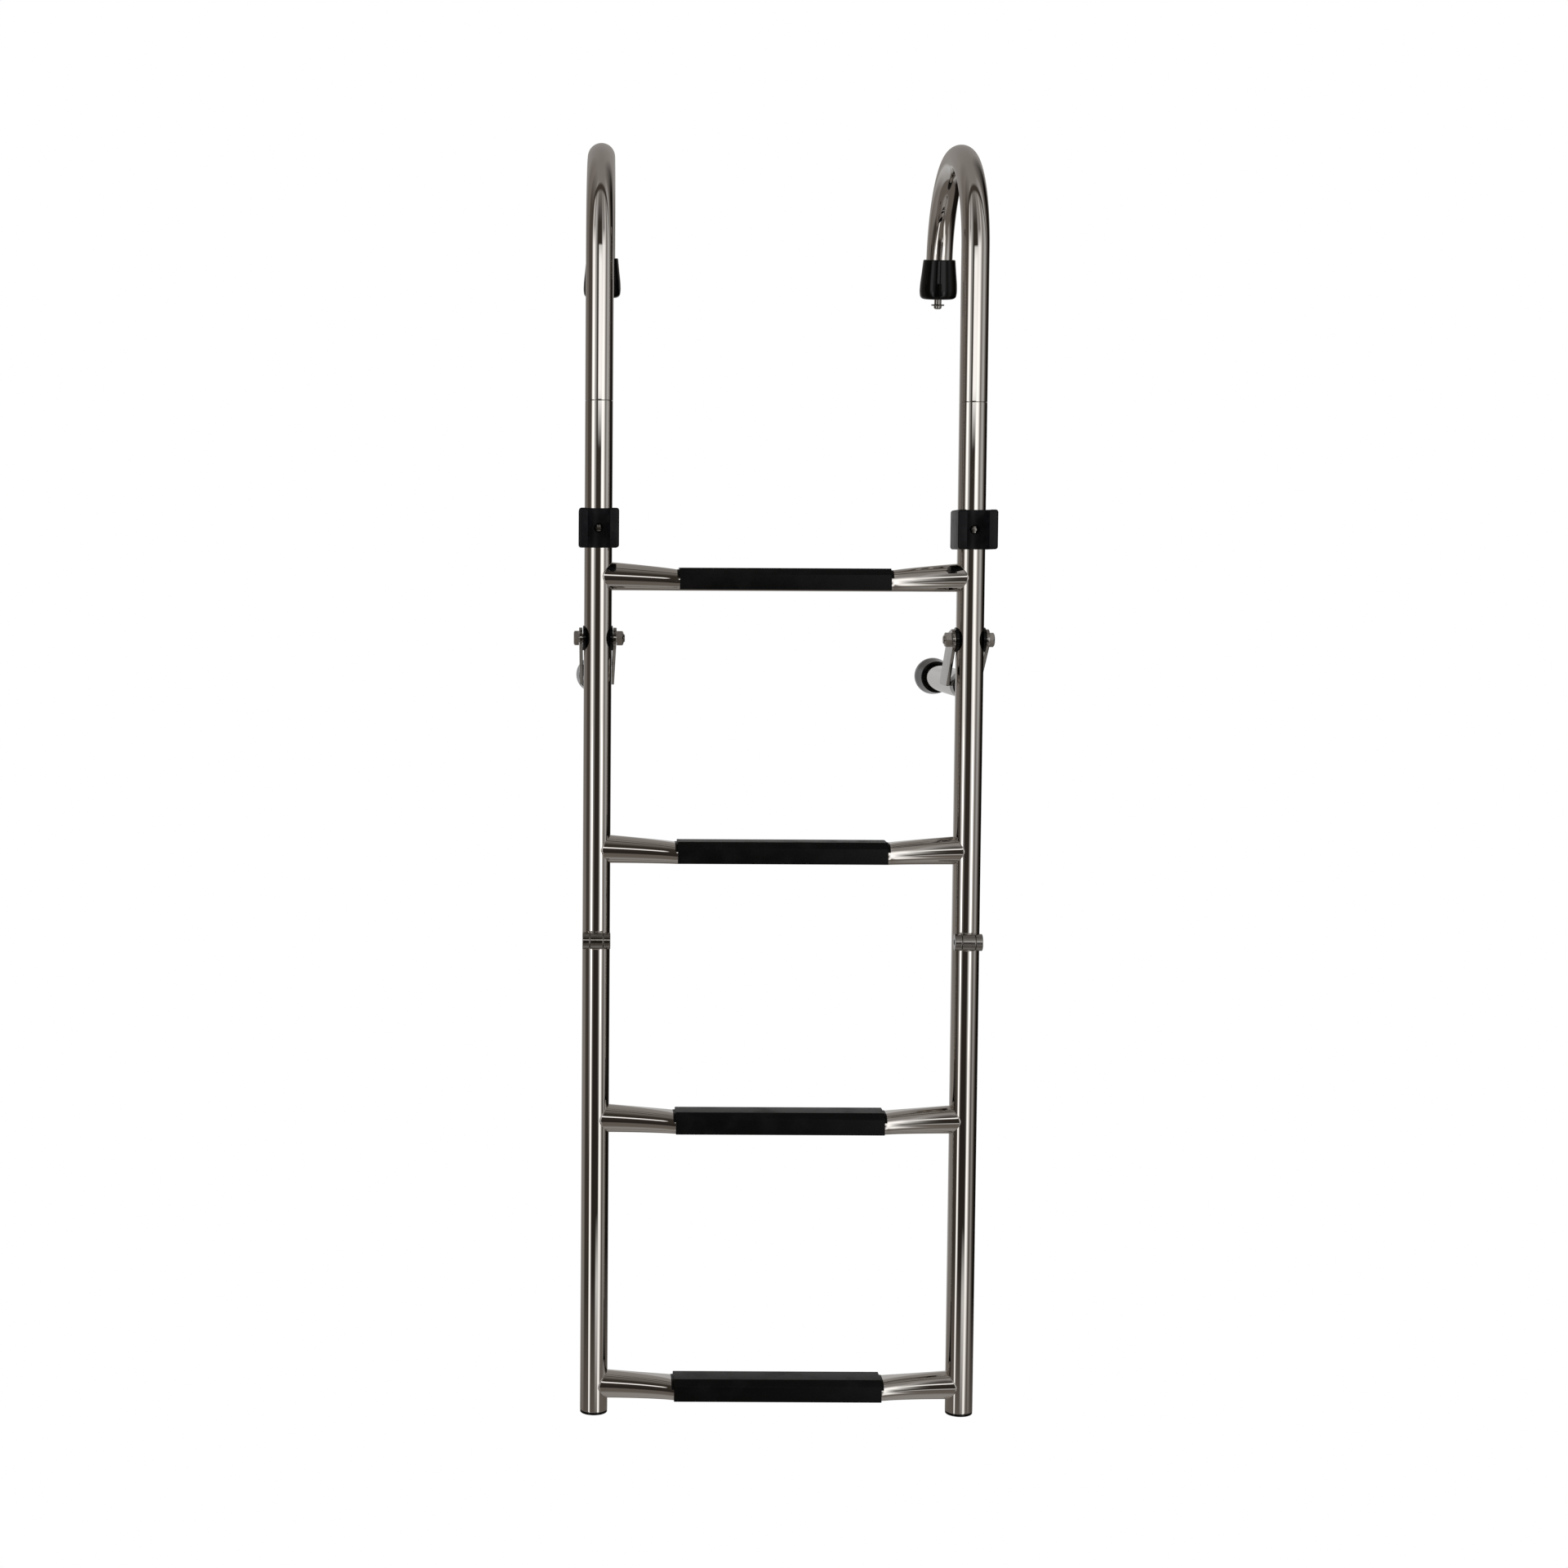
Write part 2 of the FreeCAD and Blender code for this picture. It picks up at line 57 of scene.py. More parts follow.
# %% The ladder's sizes
MM = 0.001
TUBE_R, WALL = 12.7, 1.2
BARREL_R, BARREL_CLEAR = 7.75, 0.3
RAIL_X, RAIL_Y = 170.0, -95.0
BEND_R, BEND_DEG, TOE_IN_DEG = 95.0, 172.0, 1.5
END_RUN, TIP_LENGTH = 33.9, 38.4  # from a bend's end to the tube's end and to the rubber tip's end
LEG_REACH = 238.0  # from a rail's middle to the far end of a leg's foot
BUMPER_OUT = 21.3  # from a rail's skin to the near end of a leg's tube
RUNG_END_H, RUNG_FLAT_H = 23.2, 16.6
FIRST_RUNG_DROP, RUNG_PITCH = 296.0, 250.0
SPRING_Z = TUBE_R - BEND_R
RUNG_Z = [SPRING_Z - FIRST_RUNG_DROP - RUNG_PITCH * i for i in range(4)]
SEAM_Z = RUNG_Z[0] + 158.0
CLIP_Z = RUNG_Z[0] + 42.6
BOLT_Z = RUNG_Z[0] - 57.5
LEG_Z = BOLT_Z - 42.5
HINGE_Y, HINGE_Z = RAIL_Y - 15.5, RUNG_Z[0] - 333.8
RAIL_END_Z = RUNG_Z[3] - 25.0
SIDES = {"left": -RAIL_X, "right": RAIL_X}


def metres(points):
    """Turns points in millimetres into points in metres."""
    return [Vector(p) * MM for p in points]


print("rungs at", [round(z, 1) for z in RUNG_Z], "hinge at", round(HINGE_Z, 1))

# %% [markdown]
# ## The camera
# The photographer stood in front of the left rail, level with the first rung, and 2.3 m away.
# Most of the ladder lies to the right of that eye and below it. The lens is shifted that way and
# the camera is tilted only a little, which keeps the rails nearly parallel, as the photograph has
# them.

# %% Camera
EYE = (-0.2025, -2.42, -0.3745)
TILT_DOWN_DEG, ROLL_DEG = 3.6, 0.266
camera = bpy.data.objects.new("Camera", bpy.data.cameras.new("Camera"))
bpy.context.scene.collection.objects.link(camera)
camera.data.lens, camera.data.sensor_width = 58.39, 36.0
camera.data.shift_x, camera.data.shift_y = 0.1417, -0.034
tilt = Matrix.Rotation(math.radians(90 - TILT_DOWN_DEG), 4, "X")
turn = tilt @ Matrix.Rotation(math.radians(ROLL_DEG), 4, "Z")
camera.matrix_world = Matrix.Translation(EYE) @ turn
bpy.context.scene.camera = camera
print("camera at", EYE)

# %% [markdown]
# ## Building trees
# Geometry trees and shader trees are built the same way: add a node, feed its inputs, take its
# output. What is taken is wrapped in a small class that knows arithmetic, so that a rule with
# many Math nodes can be written, and read, as a plain formula.


# %% Helpers for node trees
def feed(tree, node, feeds):
    """Gives inputs, by name or number, a value or what another node gives."""
    for key, value in feeds.items():
        value = getattr(value, "socket", value)
        if isinstance(value, bpy.types.NodeSocket):
            tree.links.new(value, node.inputs[key])
        else:
            node.inputs[key].default_value = value


def add(tree, kind, feeds=(), **settings):
    """Adds a node, with its settings and its feeds."""
    node = tree.nodes.new(kind)
    for key, value in settings.items():
        setattr(node, key, value)
    feed(tree, node, dict(feeds))
    return node


def take(tree, kind, feeds=(), output=0, **settings):
    """Adds a node and takes one of its outputs."""
    return Result(tree, add(tree, kind, feeds, **settings).outputs[output])


class Result:
    """What a node gives. Arithmetic with it adds a Math node to the same tree."""

    def __init__(self, tree, socket):
        self.tree, self.socket = tree, socket

    def calc(self, operation, other=0.0, swapped=False):
        pair = {0: other, 1: self} if swapped else {0: self, 1: other}
        return take(self.tree, "ShaderNodeMath", pair, operation=operation)

    def __add__(self, other):
        return self.calc("ADD", other)

    def __sub__(self, other):
        return self.calc("SUBTRACT", other)

    def __rsub__(self, other):
        return self.calc("SUBTRACT", other, swapped=True)

    def __mul__(self, other):
        return self.calc("MULTIPLY", other)

    def __truediv__(self, other):
        return self.calc("DIVIDE", other)

    def __rtruediv__(self, other):
        return self.calc("DIVIDE", other, swapped=True)

    def __pow__(self, other):
        return self.calc("POWER", other)

    def __abs__(self):
        return self.calc("ABSOLUTE")


def vector_calc(tree, operation, a, b=(0, 0, 0), output=0):
    """One Vector Math node's result."""
    return take(tree, "ShaderNodeVectorMath", {0: a, 1: b}, output, operation=operation)


def split(tree, vector):
    """The three numbers of a vector."""
    node = add(tree, "ShaderNodeSeparateXYZ", {0: vector})
    return [Result(tree, output) for output in node.outputs]


def joined(tree, x, y, z):
    return take(tree, "ShaderNodeCombineXYZ", {0: x, 1: y, 2: z})


def group(kind, name, inputs, outputs):
    """A new tree with sockets given as (name, type, default), its inputs and its exit."""
    tree = bpy.data.node_groups.new(name, kind)
    for side, sockets in (("INPUT", inputs), ("OUTPUT", outputs)):
        for socket, type_name, default in sockets:
            type_name = "NodeSocket" + type_name
            made = tree.interface.new_socket(socket, in_out=side, socket_type=type_name)
            if default is not None:
                made.default_value = default
    entry = tree.nodes.new("NodeGroupInput")
    given = {output.name: Result(tree, output) for output in entry.outputs}
    return tree, given, tree.nodes.new("NodeGroupOutput")


print("helpers ready")

# %% [markdown]
# ## Effects that several finishes share
# Bright tube, fasteners and black parts all carry faint lines from how they were made, smudges
# from hands and small dents in the skin. Each effect is one group, and each finish sets its own
# amounts.


# %% Shader groups
def effect(name, inputs, output):
    """A shader group that starts from a vector and gives one number."""
    inputs = [("Vector", "Vector", None)] + inputs
    return group("ShaderNodeTree", name, inputs, [(output, "Float", None)])


def drawn_lines():
    """Very fine lines along a direction: the vector is stretched before the noise reads it."""
    inputs = [("Stretch", "Vector", (900.0, 900.0, 12.0)), ("Detail", "Float", 3.0)]
    tree, given, out = effect("Drawn lines", inputs, "Value")
    stretched = vector_calc(tree, "MULTIPLY", given["Vector"], given["Stretch"])
    feeds = {"Vector": stretched, "Scale": 1.0, "Detail": given["Detail"]}
    feed(tree, out, {"Value": take(tree, "ShaderNodeTexNoise", feeds)})
    return tree


def handled_skin():
    """Soft patches, as fingers and weather leave: a mask from 0 to 1."""
    inputs = [("Patch size", "Float", 0.03), ("Low", "Float", 0.45), ("High", "Float", 0.75)]
    tree, given, out = effect("Handled skin", inputs, "Mask")
    feeds = {"Vector": given["Vector"], "Scale": 1.0 / given["Patch size"], "Detail": 4.0}
    noise = take(tree, "ShaderNodeTexNoise", feeds)
    feeds = {"Value": noise, "From Min": given["Low"], "From Max": given["High"]}
    mask = take(tree, "ShaderNodeMapRange", feeds, interpolation_type="SMOOTHSTEP")
    feed(tree, out, {"Mask": mask})
    return tree


def moulded_grain():
    """The faint pebbled skin of a moulding, as a height."""
    inputs = [("Grain size", "Float", 0.0006), ("Roundness", "Float", 0.5)]
    tree, given, out = effect("Moulded grain", inputs, "Height")
    feeds = {"Vector": given["Vector"], "Scale": 1.0 / given["Grain size"]}
    cells = take(tree, "ShaderNodeTexVoronoi", feeds, "Distance", feature="SMOOTH_F1")
    noise = take(tree, "ShaderNodeTexNoise", {**feeds, "Detail": 2.0})
    mixed = take(tree, "ShaderNodeMix", {0: given["Roundness"], 2: noise, 3: cells})
    feed(tree, out, {"Height": mixed})
    return tree


LINES, SKIN, GRAIN = drawn_lines(), handled_skin(), moulded_grain()
print("shader groups:", [g.name for g in (LINES, SKIN, GRAIN)])

# %% [markdown]
# ## Finishes
# Polished stainless is a mirror with a warm grey tint. What makes it metal and not glass is how
# it fails: the polishing wheel leaves lines along the tube, and the wall is never quite true. The
# tube's pattern is read from an attribute that says where each point was before the tube was
# bent.


# %% Helpers for finishes
def use(tree, shared, feeds):
    """The result of a shared effect."""
    return take(tree, "ShaderNodeGroup", feeds, node_tree=shared)


def remap(value, low, high, start=0.0, end=1.0):
    """Turns start to end into low to high, and holds the value there beyond them."""
    feeds = {"Value": value, "From Min": start, "From Max": end, "To Min": low, "To Max": high}
    return take(value.tree, "ShaderNodeMapRange", feeds)


def over(tree, share, under, colour):
    """Lays a colour over another by a share from 0 to 1."""
    feeds = {0: share, 6: under, 7: colour}
    return take(tree, "ShaderNodeMix", feeds, 2, data_type="RGBA")


def blend(share, one, two):
    """A colour between two plain ones."""
    return over(share.tree, share, (*one, 1), (*two, 1))


def object_place(tree):
    return take(tree, "ShaderNodeTexCoord", output="Object")


def bump(height, strength, distance):
    """Lets a height bend the shading."""
    feeds = {"Height": height, "Strength": strength, "Distance": distance}
    return take(height.tree, "ShaderNodeBump", feeds)


def finish(name, **settings):
    """A new material with a Principled shader. Settings are constants on its own sockets."""
    material = bpy.data.materials.new(name)
    material.use_nodes = True
    tree = material.node_tree
    shader = tree.nodes["Principled BSDF"]
    feed(tree, shader, {key.replace("_", " "): value for key, value in settings.items()})
    return material, tree, shader


print("finish helpers ready")


# %% Steel finishes
def polished_steel():
    """The tube: fine lines in its gloss, slow waves in its wall, and faint smudges."""
    material, tree, shader = finish("Polished stainless", Metallic=1.0)
    place = take(tree, "ShaderNodeAttribute", output="Vector", attribute_name="straight")
    feeds = {"Vector": place, "Stretch": (1500.0, 1500.0, 14.0), "Detail": 4.0}
    lines = use(tree, LINES, feeds)
    feeds = {"Vector": place, "Stretch": (90.0, 90.0, 7.0), "Detail": 1.0}
    waves = use(tree, LINES, feeds)
    smudge = use(tree, SKIN, {"Vector": place, "Patch size": 0.035})
    share = remap(waves, 0.2, 0.8, 0.3, 0.7)
    colour = blend(share, (0.70, 0.665, 0.625), (0.60, 0.575, 0.545))
    rough = remap(lines, 0.01, 0.035, 0.3, 0.7) + smudge * 0.03
    feeds = {"Base Color": colour, "Roughness": rough, "Normal": bump(waves, 0.2, 0.00025)}
    feed(tree, shader, feeds)
    return material


def plain_steel(name, tones, roughness):
    """Steel that wasn't polished as far as the tube: fasteners shine, cut plate is brushed."""
    material, tree, shader = finish(name, Metallic=1.0)
    place = object_place(tree)
    feeds = {"Vector": place, "Stretch": (2500.0, 60.0, 2500.0), "Detail": 3.0}
    lines = use(tree, LINES, feeds)
    smudge = use(tree, SKIN, {"Vector": place, "Patch size": 0.006})
    rough = remap(lines, *roughness, 0.3, 0.7)
    feeds = {"Base Color": blend(smudge, *tones), "Roughness": rough}
    feed(tree, shader, {**feeds, "Normal": bump(lines, 0.02, 0.0001)})
    return material


STEEL = polished_steel()
tones = [(0.58, 0.56, 0.53), (0.42, 0.40, 0.37)]
FASTENER = plain_steel("Plain stainless", tones, (0.03, 0.07))
tones = [(0.36, 0.345, 0.325), (0.30, 0.285, 0.265)]
STRAP = plain_steel("Brushed plate", tones, (0.08, 0.15))
print("steel finishes:", [m.name for m in (STEEL, FASTENER, STRAP)])

# %% [markdown]
# The tips, plugs and bumpers are glossy rubber, the clips hard plastic and the treads a duller
# one. All are nearly black, so gloss, specular level and grain are what tell them apart, and one
# function with those as its inputs makes all three.


# %% Black finishes
def black_part(name, tones, roughness, patch, grain, strength, specular):
    """Rubber and plastics differ only in tone, gloss and grain."""
    material, tree, shader = finish(name, Specular_IOR_Level=specular)
    place = object_place(tree)
    skin = use(tree, SKIN, {"Vector": place, "Patch size": patch})
    height = use(tree, GRAIN, {"Vector": place, "Grain size": grain})
    feeds = {"Base Color": blend(skin, *tones), "Roughness": remap(skin, *roughness)}
    feed(tree, shader, {**feeds, "Normal": bump(height, strength, grain * 0.4)})
    return material


tones = [(0.0015,) * 3, (0.003,) * 3]
RUBBER = black_part("Glossy rubber", tones, (0.05, 0.1), 0.012, 0.0009, 0.03, 0.22)
tones = [(0.005, 0.005, 0.006), (0.009, 0.009, 0.010)]
PLASTIC = black_part("Moulded plastic", tones, (0.36, 0.44), 0.01, 0.0005, 0.2, 0.14)
tones = [(0.002,) * 3, (0.0035,) * 3]
TREAD = black_part("Tread plastic", tones, (0.36, 0.46), 0.02, 0.0008, 0.35, 0.11)
print("black finishes:", [m.name for m in (RUBBER, PLASTIC, TREAD)])

# %% [markdown]
# ## From a built shape to a finished piece
# Every piece ends the same way: modifiers are made real, sharp edges between faces stay crisp
# while curves turn smooth, the piece is told which body it rides on, and the CAD node it stands
# for is hidden.


# %% Helpers for pieces
def draft(name, points, edges=(), faces=()):
    """A working mesh object from points in metres."""
    mesh = bpy.data.meshes.new(name)
    mesh.from_pydata([tuple(p) for p in points], list(edges), list(faces))
    made = bpy.data.objects.new(name + ".draft", mesh)
    bpy.context.scene.collection.objects.link(made)
    return made


def nodes_modifier(obj, tree, **inputs):
    """Adds a Geometry Nodes modifier and sets its inputs by their sockets' identifiers."""
    modifier = obj.modifiers.new(tree.name, "NODES")
    modifier.node_group = tree
    for item in tree.interface.items_tree:
        key = item.name.lower().replace(" ", "_")
        if item.in_out == "INPUT" and key in inputs:
            modifier[item.identifier] = inputs[key]


def walled(obj):
    """Gives an open skin the tube's wall, inwards, with closed rims."""
    made = obj.modifiers.new("Wall", "SOLIDIFY")
    made.thickness, made.offset, made.use_rim = WALL * MM, -1.0, True


def eased(obj, width, segments, angle):
    """Rounds the edges sharper than an angle."""
    made = obj.modifiers.new("Eased edges", "BEVEL")
    made.width, made.segments = width * MM, segments
    made.limit_method, made.angle_limit = "ANGLE", math.radians(angle)


def made_real(obj, name):
    """The evaluated shape as a plain mesh object, in place of the working one."""
    graph = bpy.context.evaluated_depsgraph_get()
    mesh = bpy.data.meshes.new_from_object(obj.evaluated_get(graph))
    mesh.name = name
    made = bpy.data.objects.new(name, mesh)
    bpy.context.scene.collection.objects.link(made)
    bpy.data.objects.remove(obj)
    return made


def piece(obj, name, body, slot, material=None, stands_for=(), crisp=32):
    """Finishes a working object as a piece that rides on a body."""
    done = made_real(obj, name)
    if material:
        done.data.materials.clear()
        done.data.materials.append(material)
    done.data.shade_smooth()
    done.data.set_sharp_from_angle(angle=math.radians(crisp))
    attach(done, body)
    if stands_for:
        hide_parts(*stands_for)


print("piece helpers ready")

# %% [markdown]
# ## Tubes that follow a line
# Rails, hooks and legs are one tube on different lines. A Geometry Nodes tree sweeps the round
# section along the line and remembers, for each point, where it lay on the straight tube before
# bending.


# %% Helpers for geometry trees
def geometry_tree(name, inputs):
    """A tree that takes geometry, its own sizes and a material, and gives geometry."""
    shape = ("Geometry", "Geometry", None)
    inputs = [shape] + inputs + [("Material", "Material", None)]
    return group("GeometryNodeTree", name, inputs, [shape])


def position(tree):
    return take(tree, "GeometryNodeInputPosition")


def along_line(tree):
    return take(tree, "GeometryNodeSplineParameter", output="Length")


def remembered(tree, shape, value):
    """Keeps a vector with each point, under the name that the steel's pattern reads."""
    feeds = {"Geometry": shape, "Name": "straight", "Value": value}
    return take(tree, "GeometryNodeStoreNamedAttribute", feeds, data_type="FLOAT_VECTOR")


def ended(tree, out, shape, material):
    """Every tree ends alike: instances are made real, and the material is set."""
    whole = take(tree, "GeometryNodeRealizeInstances", {0: shape})
    feeds = {"Geometry": whole, "Material": material}
    feed(tree, out, {0: take(tree, "GeometryNodeSetMaterial", feeds)})
    return tree


print("tree helpers ready")


# %% Geometry tree: ladder tube
def tube_tree():
    inputs = [("Diameter", "Float", 2 * TUBE_R * MM), ("Sides", "Int", 96)]
    tree, given, out = geometry_tree("Ladder tube", inputs)
    line = take(tree, "GeometryNodeMeshToCurve", {0: given["Geometry"]})
    along = add(tree, "GeometryNodeCaptureAttribute", {0: line})
    along.capture_items.new("FLOAT", "Length")
    feed(tree, along, {"Length": along_line(tree)})
    feeds = {"Resolution": given["Sides"], "Radius": given["Diameter"] * 0.5}
    ring = take(tree, "GeometryNodeCurvePrimitiveCircle", feeds)
    section = add(tree, "GeometryNodeCaptureAttribute", {0: ring})
    section.capture_items.new("VECTOR", "Around")
    feed(tree, section, {"Around": position(tree)})
    feeds = {"Curve": along.outputs[0], "Profile Curve": section.outputs[0]}
    swept = take(tree, "GeometryNodeCurveToMesh", feeds)
    x, y, _ = split(tree, section.outputs["Around"])
    kept = remembered(tree, swept, joined(tree, x, y, along.outputs["Length"]))
    return ended(tree, out, kept, given["Material"])


TUBE = tube_tree()
print("tree:", TUBE.name)


# %% Geometry tree: an end cut round the hinge barrel
CUT_GAP, CUT_REACH, CUT_STEP = 0.15, 20.0, 1.25


def barrel_cut_tree():
    """Stretches the last part of a rail so that its end follows the hinge barrel's clearance."""
    inputs = [
        ("Barrel Y", "Float", 0.0),
        ("Barrel Z", "Float", 0.0),
        ("Clearance", "Float", 0.008),
        ("Gap", "Float", CUT_GAP * MM),
        ("Reach", "Float", CUT_REACH * MM),
        ("Upwards", "Float", 1.0),
    ]
    tree, given, out = geometry_tree("End cut for the barrel", inputs)
    _, y, z = split(tree, position(tree))
    gap, up = given["Gap"], given["Upwards"]
    arc = given["Clearance"] ** 2.0 - (y - given["Barrel Y"]) ** 2.0
    end = arc.calc("MAXIMUM", 0.0).calc("SQRT").calc("MAXIMUM", gap)
    share = ((z - given["Barrel Z"]) * up - gap) / given["Reach"]
    share = share.calc("MAXIMUM", 0.0).calc("MINIMUM", 1.0)
    shift = joined(tree, 0.0, 0.0, (end - gap) * (1.0 - share) * up)
    feeds = {0: given["Geometry"], "Offset": shift}
    moved = take(tree, "GeometryNodeSetPosition", feeds)
    return ended(tree, out, moved, given["Material"])


BARREL_CUT = barrel_cut_tree()
print("tree:", BARREL_CUT.name)

# %% Lines of rails and hooks
LEAN = math.radians(180 - BEND_DEG)
TIP_WAY = Vector((0, math.sin(LEAN), -math.cos(LEAN)))
BEND_STEPS, SEAM_GAP = 86, 0.1


def line_points(start, end, steps):
    a, b = Vector(start), Vector(end)
    return [a.lerp(b, i / steps) for i in range(steps + 1)]


def toed_in(way, x):
    """A direction turned about the upright, because the hook tips stand nearer to each other."""
    turn = math.radians(math.copysign(TOE_IN_DEG, x))
    return Matrix.Rotation(turn, 3, "Z") @ Vector(way)


def hook_line(x):
    """Up from the seam, round the bend in small steps, and down the short splayed tip."""
    points = line_points((x, RAIL_Y, SEAM_Z + SEAM_GAP), (x, RAIL_Y, SPRING_Z), 4)
    for i in range(1, BEND_STEPS + 1):
        a = math.radians(180 - BEND_DEG * i / BEND_STEPS)
        points.append(Vector((x, BEND_R * math.cos(a), SPRING_Z + BEND_R * math.sin(a))))
    points += line_points(points[-1], points[-1] + END_RUN * TIP_WAY, 2)[1:]
    foot = Vector((x, RAIL_Y, 0))
    return [foot + toed_in(p - foot, x) for p in points]


def rail_line(x, start, end):
    """A straight rail from its cut end: short steps where the cut shapes it, then long ones."""
    step = math.copysign(CUT_STEP, end - start)
    steps = round(CUT_REACH / CUT_STEP)
    fine = [Vector((x, RAIL_Y, start + step * i)) for i in range(steps + 1)]
    return fine + line_points(fine[-1], (x, RAIL_Y, end), 8)[1:]


def end_rings(points, inset=0.8):
    """Adds a ring near each end, so that the eased rim doesn't bend the long faces' shading."""
    ends = (points[0], points[1]), (points[-1], points[-2])
    first, last = (a.lerp(b, inset / (b - a).length) for a, b in ends)
    return [points[0], first, *points[1:-1], last, points[-1]]


print("a hook's line has", len(hook_line(RAIL_X)), "points")


# %% Rails, hooks and leg tubes
def tube(name, points, body, node, cut=0):
    """A piece of tube. Its end is cut for a hinge barrel below (cut 1), above (-1) or not (0)."""
    points = end_rings(points)
    obj = draft(name, metres(points), [(i, i + 1) for i in range(len(points) - 1)])
    nodes_modifier(obj, TUBE, diameter=2 * TUBE_R * MM, sides=96, material=STEEL)
    if cut:
        sizes = {"barrel_y": HINGE_Y * MM, "barrel_z": HINGE_Z * MM, "upwards": float(cut)}
        clear = (BARREL_R + BARREL_CLEAR) * MM
        nodes_modifier(obj, BARREL_CUT, **sizes, clearance=clear, material=STEEL)
    walled(obj)
    eased(obj, 0.35, 3, 60)
    piece(obj, name, body, "polished_tube", stands_for=[node])


LEG_ENDS = RAIL_Y + TUBE_R + BUMPER_OUT, RAIL_Y + LEG_REACH - TIP_LENGTH + END_RUN
for side, x in SIDES.items():
    tube(side + "_hook", hook_line(x), "upper_frame", side + "_hook_tube")
    upper = rail_line(x, HINGE_Z + CUT_GAP, SEAM_Z - SEAM_GAP)
    tube(side + "_rail_above", upper, "upper_frame", side + "_upper_rail", cut=1)
    lower = rail_line(x, HINGE_Z - CUT_GAP, RAIL_END_Z)
    tube(side + "_rail_below", lower, "lower_frame", side + "_lower_rail", cut=-1)
    leg = line_points(*((x, y, LEG_Z) for y in LEG_ENDS), 6)
    tube(side + "_leg", leg, side + "_standoff", side + "_leg_tube")
print("tubes made: 8")

# %% [markdown]
# ## Pressed rungs
# A rung is the same tube, pressed. The press keeps the tube's girth, so the section is a circle
# cut in two halves that move apart as it gets lower. The ends are coped: each line of the tube
# runs on until it meets the rail. Both rules fit in one tree, so changing one size reshapes the
# whole rung.


# %% Geometry tree: pressed rung
def rung_tree():
    inputs = [
        ("Rail offset", "Float", RAIL_X * MM),
        ("Rail radius", "Float", TUBE_R * MM),
        ("End height", "Float", RUNG_END_H * MM),
        ("Pressed height", "Float", RUNG_FLAT_H * MM),
        ("Pressed from", "Float", 0.097),
        ("Round from", "Float", 0.157),
        ("Bottom", "Float", 0.0),
        ("Depth at", "Float", RAIL_Y * MM),
    ]
    tree, given, out = geometry_tree("Pressed rung", inputs)
    sides = 80
    feeds = {"Vertices": sides, "Side Segments": 150, "Radius": 1.0, "Depth": 2.0}
    blank = take(tree, "GeometryNodeMeshCylinder", feeds, fill_type="NONE")
    feeds = {"Geometry": blank, "Rotation": (0.0, 0.0, math.pi / sides)}
    rolled = take(tree, "GeometryNodeTransform", feeds)
    up, deep, run = split(tree, position(tree))
    rail, low, start = given["Rail radius"], given["Pressed height"], given["Pressed from"]
    reach = given["Rail offset"] - rail
    far = abs(run) * reach
    share = (far - start) / (given["Round from"] - start)
    share = share.calc("MAXIMUM", 0.0).calc("MINIMUM", 1.0) ** 0.8
    height = low + (given["End height"] - low) * share
    radius = height * 0.5
    apart = (rail * (2 * math.pi) - height * math.pi) * 0.25 * (1.0 - share)
    y = deep * radius + deep.calc("SIGN") * apart
    z = given["Bottom"] + (radius + up * radius)
    cope = rail - (rail**2.0 - y**2.0).calc("MAXIMUM", 0.0).calc("SQRT")
    x = (far + cope * abs(run) ** 10.0) * run.calc("SIGN")
    kept = remembered(tree, rolled, joined(tree, up * rail, deep * rail, run * reach))
    feeds = {0: kept, "Position": joined(tree, x, y + given["Depth at"], z)}
    pressed = take(tree, "GeometryNodeSetPosition", feeds)
    return ended(tree, out, pressed, given["Material"])


RUNG = rung_tree()
RUNG_BODY = ["upper_frame", "upper_frame", "lower_frame", "lower_frame"]
for i, z in enumerate(RUNG_Z):
    blank = draft("rung", [(0, 0, 0)])
    nodes_modifier(blank, RUNG, bottom=(z - TUBE_R) * MM, material=STEEL)
    walled(blank)
    name = f"pressed_rung_{i + 1}"
    piece(blank, name, RUNG_BODY[i], "polished_tube", stands_for=[f"rung_{i + 1}"])
print("rungs made:", len(RUNG_Z))

# %% [markdown]
# ## Weld beads
# Where two tubes meet, the welder's bead runs round the joint and is then polished down, so that
# only soft ripples are left. The tree takes the line of a joint and lays a bead on it: the same
# tree serves rungs and hinges.


# %% Geometry tree: weld bead
def bead_tree():
    inputs = [
        ("Bead radius", "Float", 0.0014),
        ("Ripple pitch", "Float", 0.0022),
        ("Ripple depth", "Float", 0.05),
        ("Unevenness", "Float", 0.25),
        ("Seed", "Float", 1.0),
    ]
    tree, given, out = geometry_tree("Weld bead", inputs)
    line = take(tree, "GeometryNodeMeshToCurve", {0: given["Geometry"]})
    feeds = {"Curve": line, "Length": 0.0007}
    fine = take(tree, "GeometryNodeResampleCurve", feeds, mode="LENGTH")
    turns = along_line(tree) / given["Ripple pitch"]
    wave = (turns * (2 * math.pi)).calc("SINE") * given["Ripple depth"]
    feeds = {"W": given["Seed"], "Scale": 260.0, "Detail": 1.0}
    noise = take(tree, "ShaderNodeTexNoise", feeds, noise_dimensions="4D")
    swell = wave + (noise - 0.5) * given["Unevenness"] + 1.0
    sized = take(tree, "GeometryNodeSetCurveRadius", {"Curve": fine, "Radius": swell})
    feeds = {"Resolution": 14, "Radius": given["Bead radius"]}
    ring = take(tree, "GeometryNodeCurvePrimitiveCircle", feeds)
    feeds = {"Curve": sized, "Profile Curve": ring, "Fill Caps": True}
    swept = take(tree, "GeometryNodeCurveToMesh", feeds)
    return ended(tree, out, remembered(tree, swept, position(tree)), given["Material"])


BEAD = bead_tree()
print("tree:", BEAD.name)


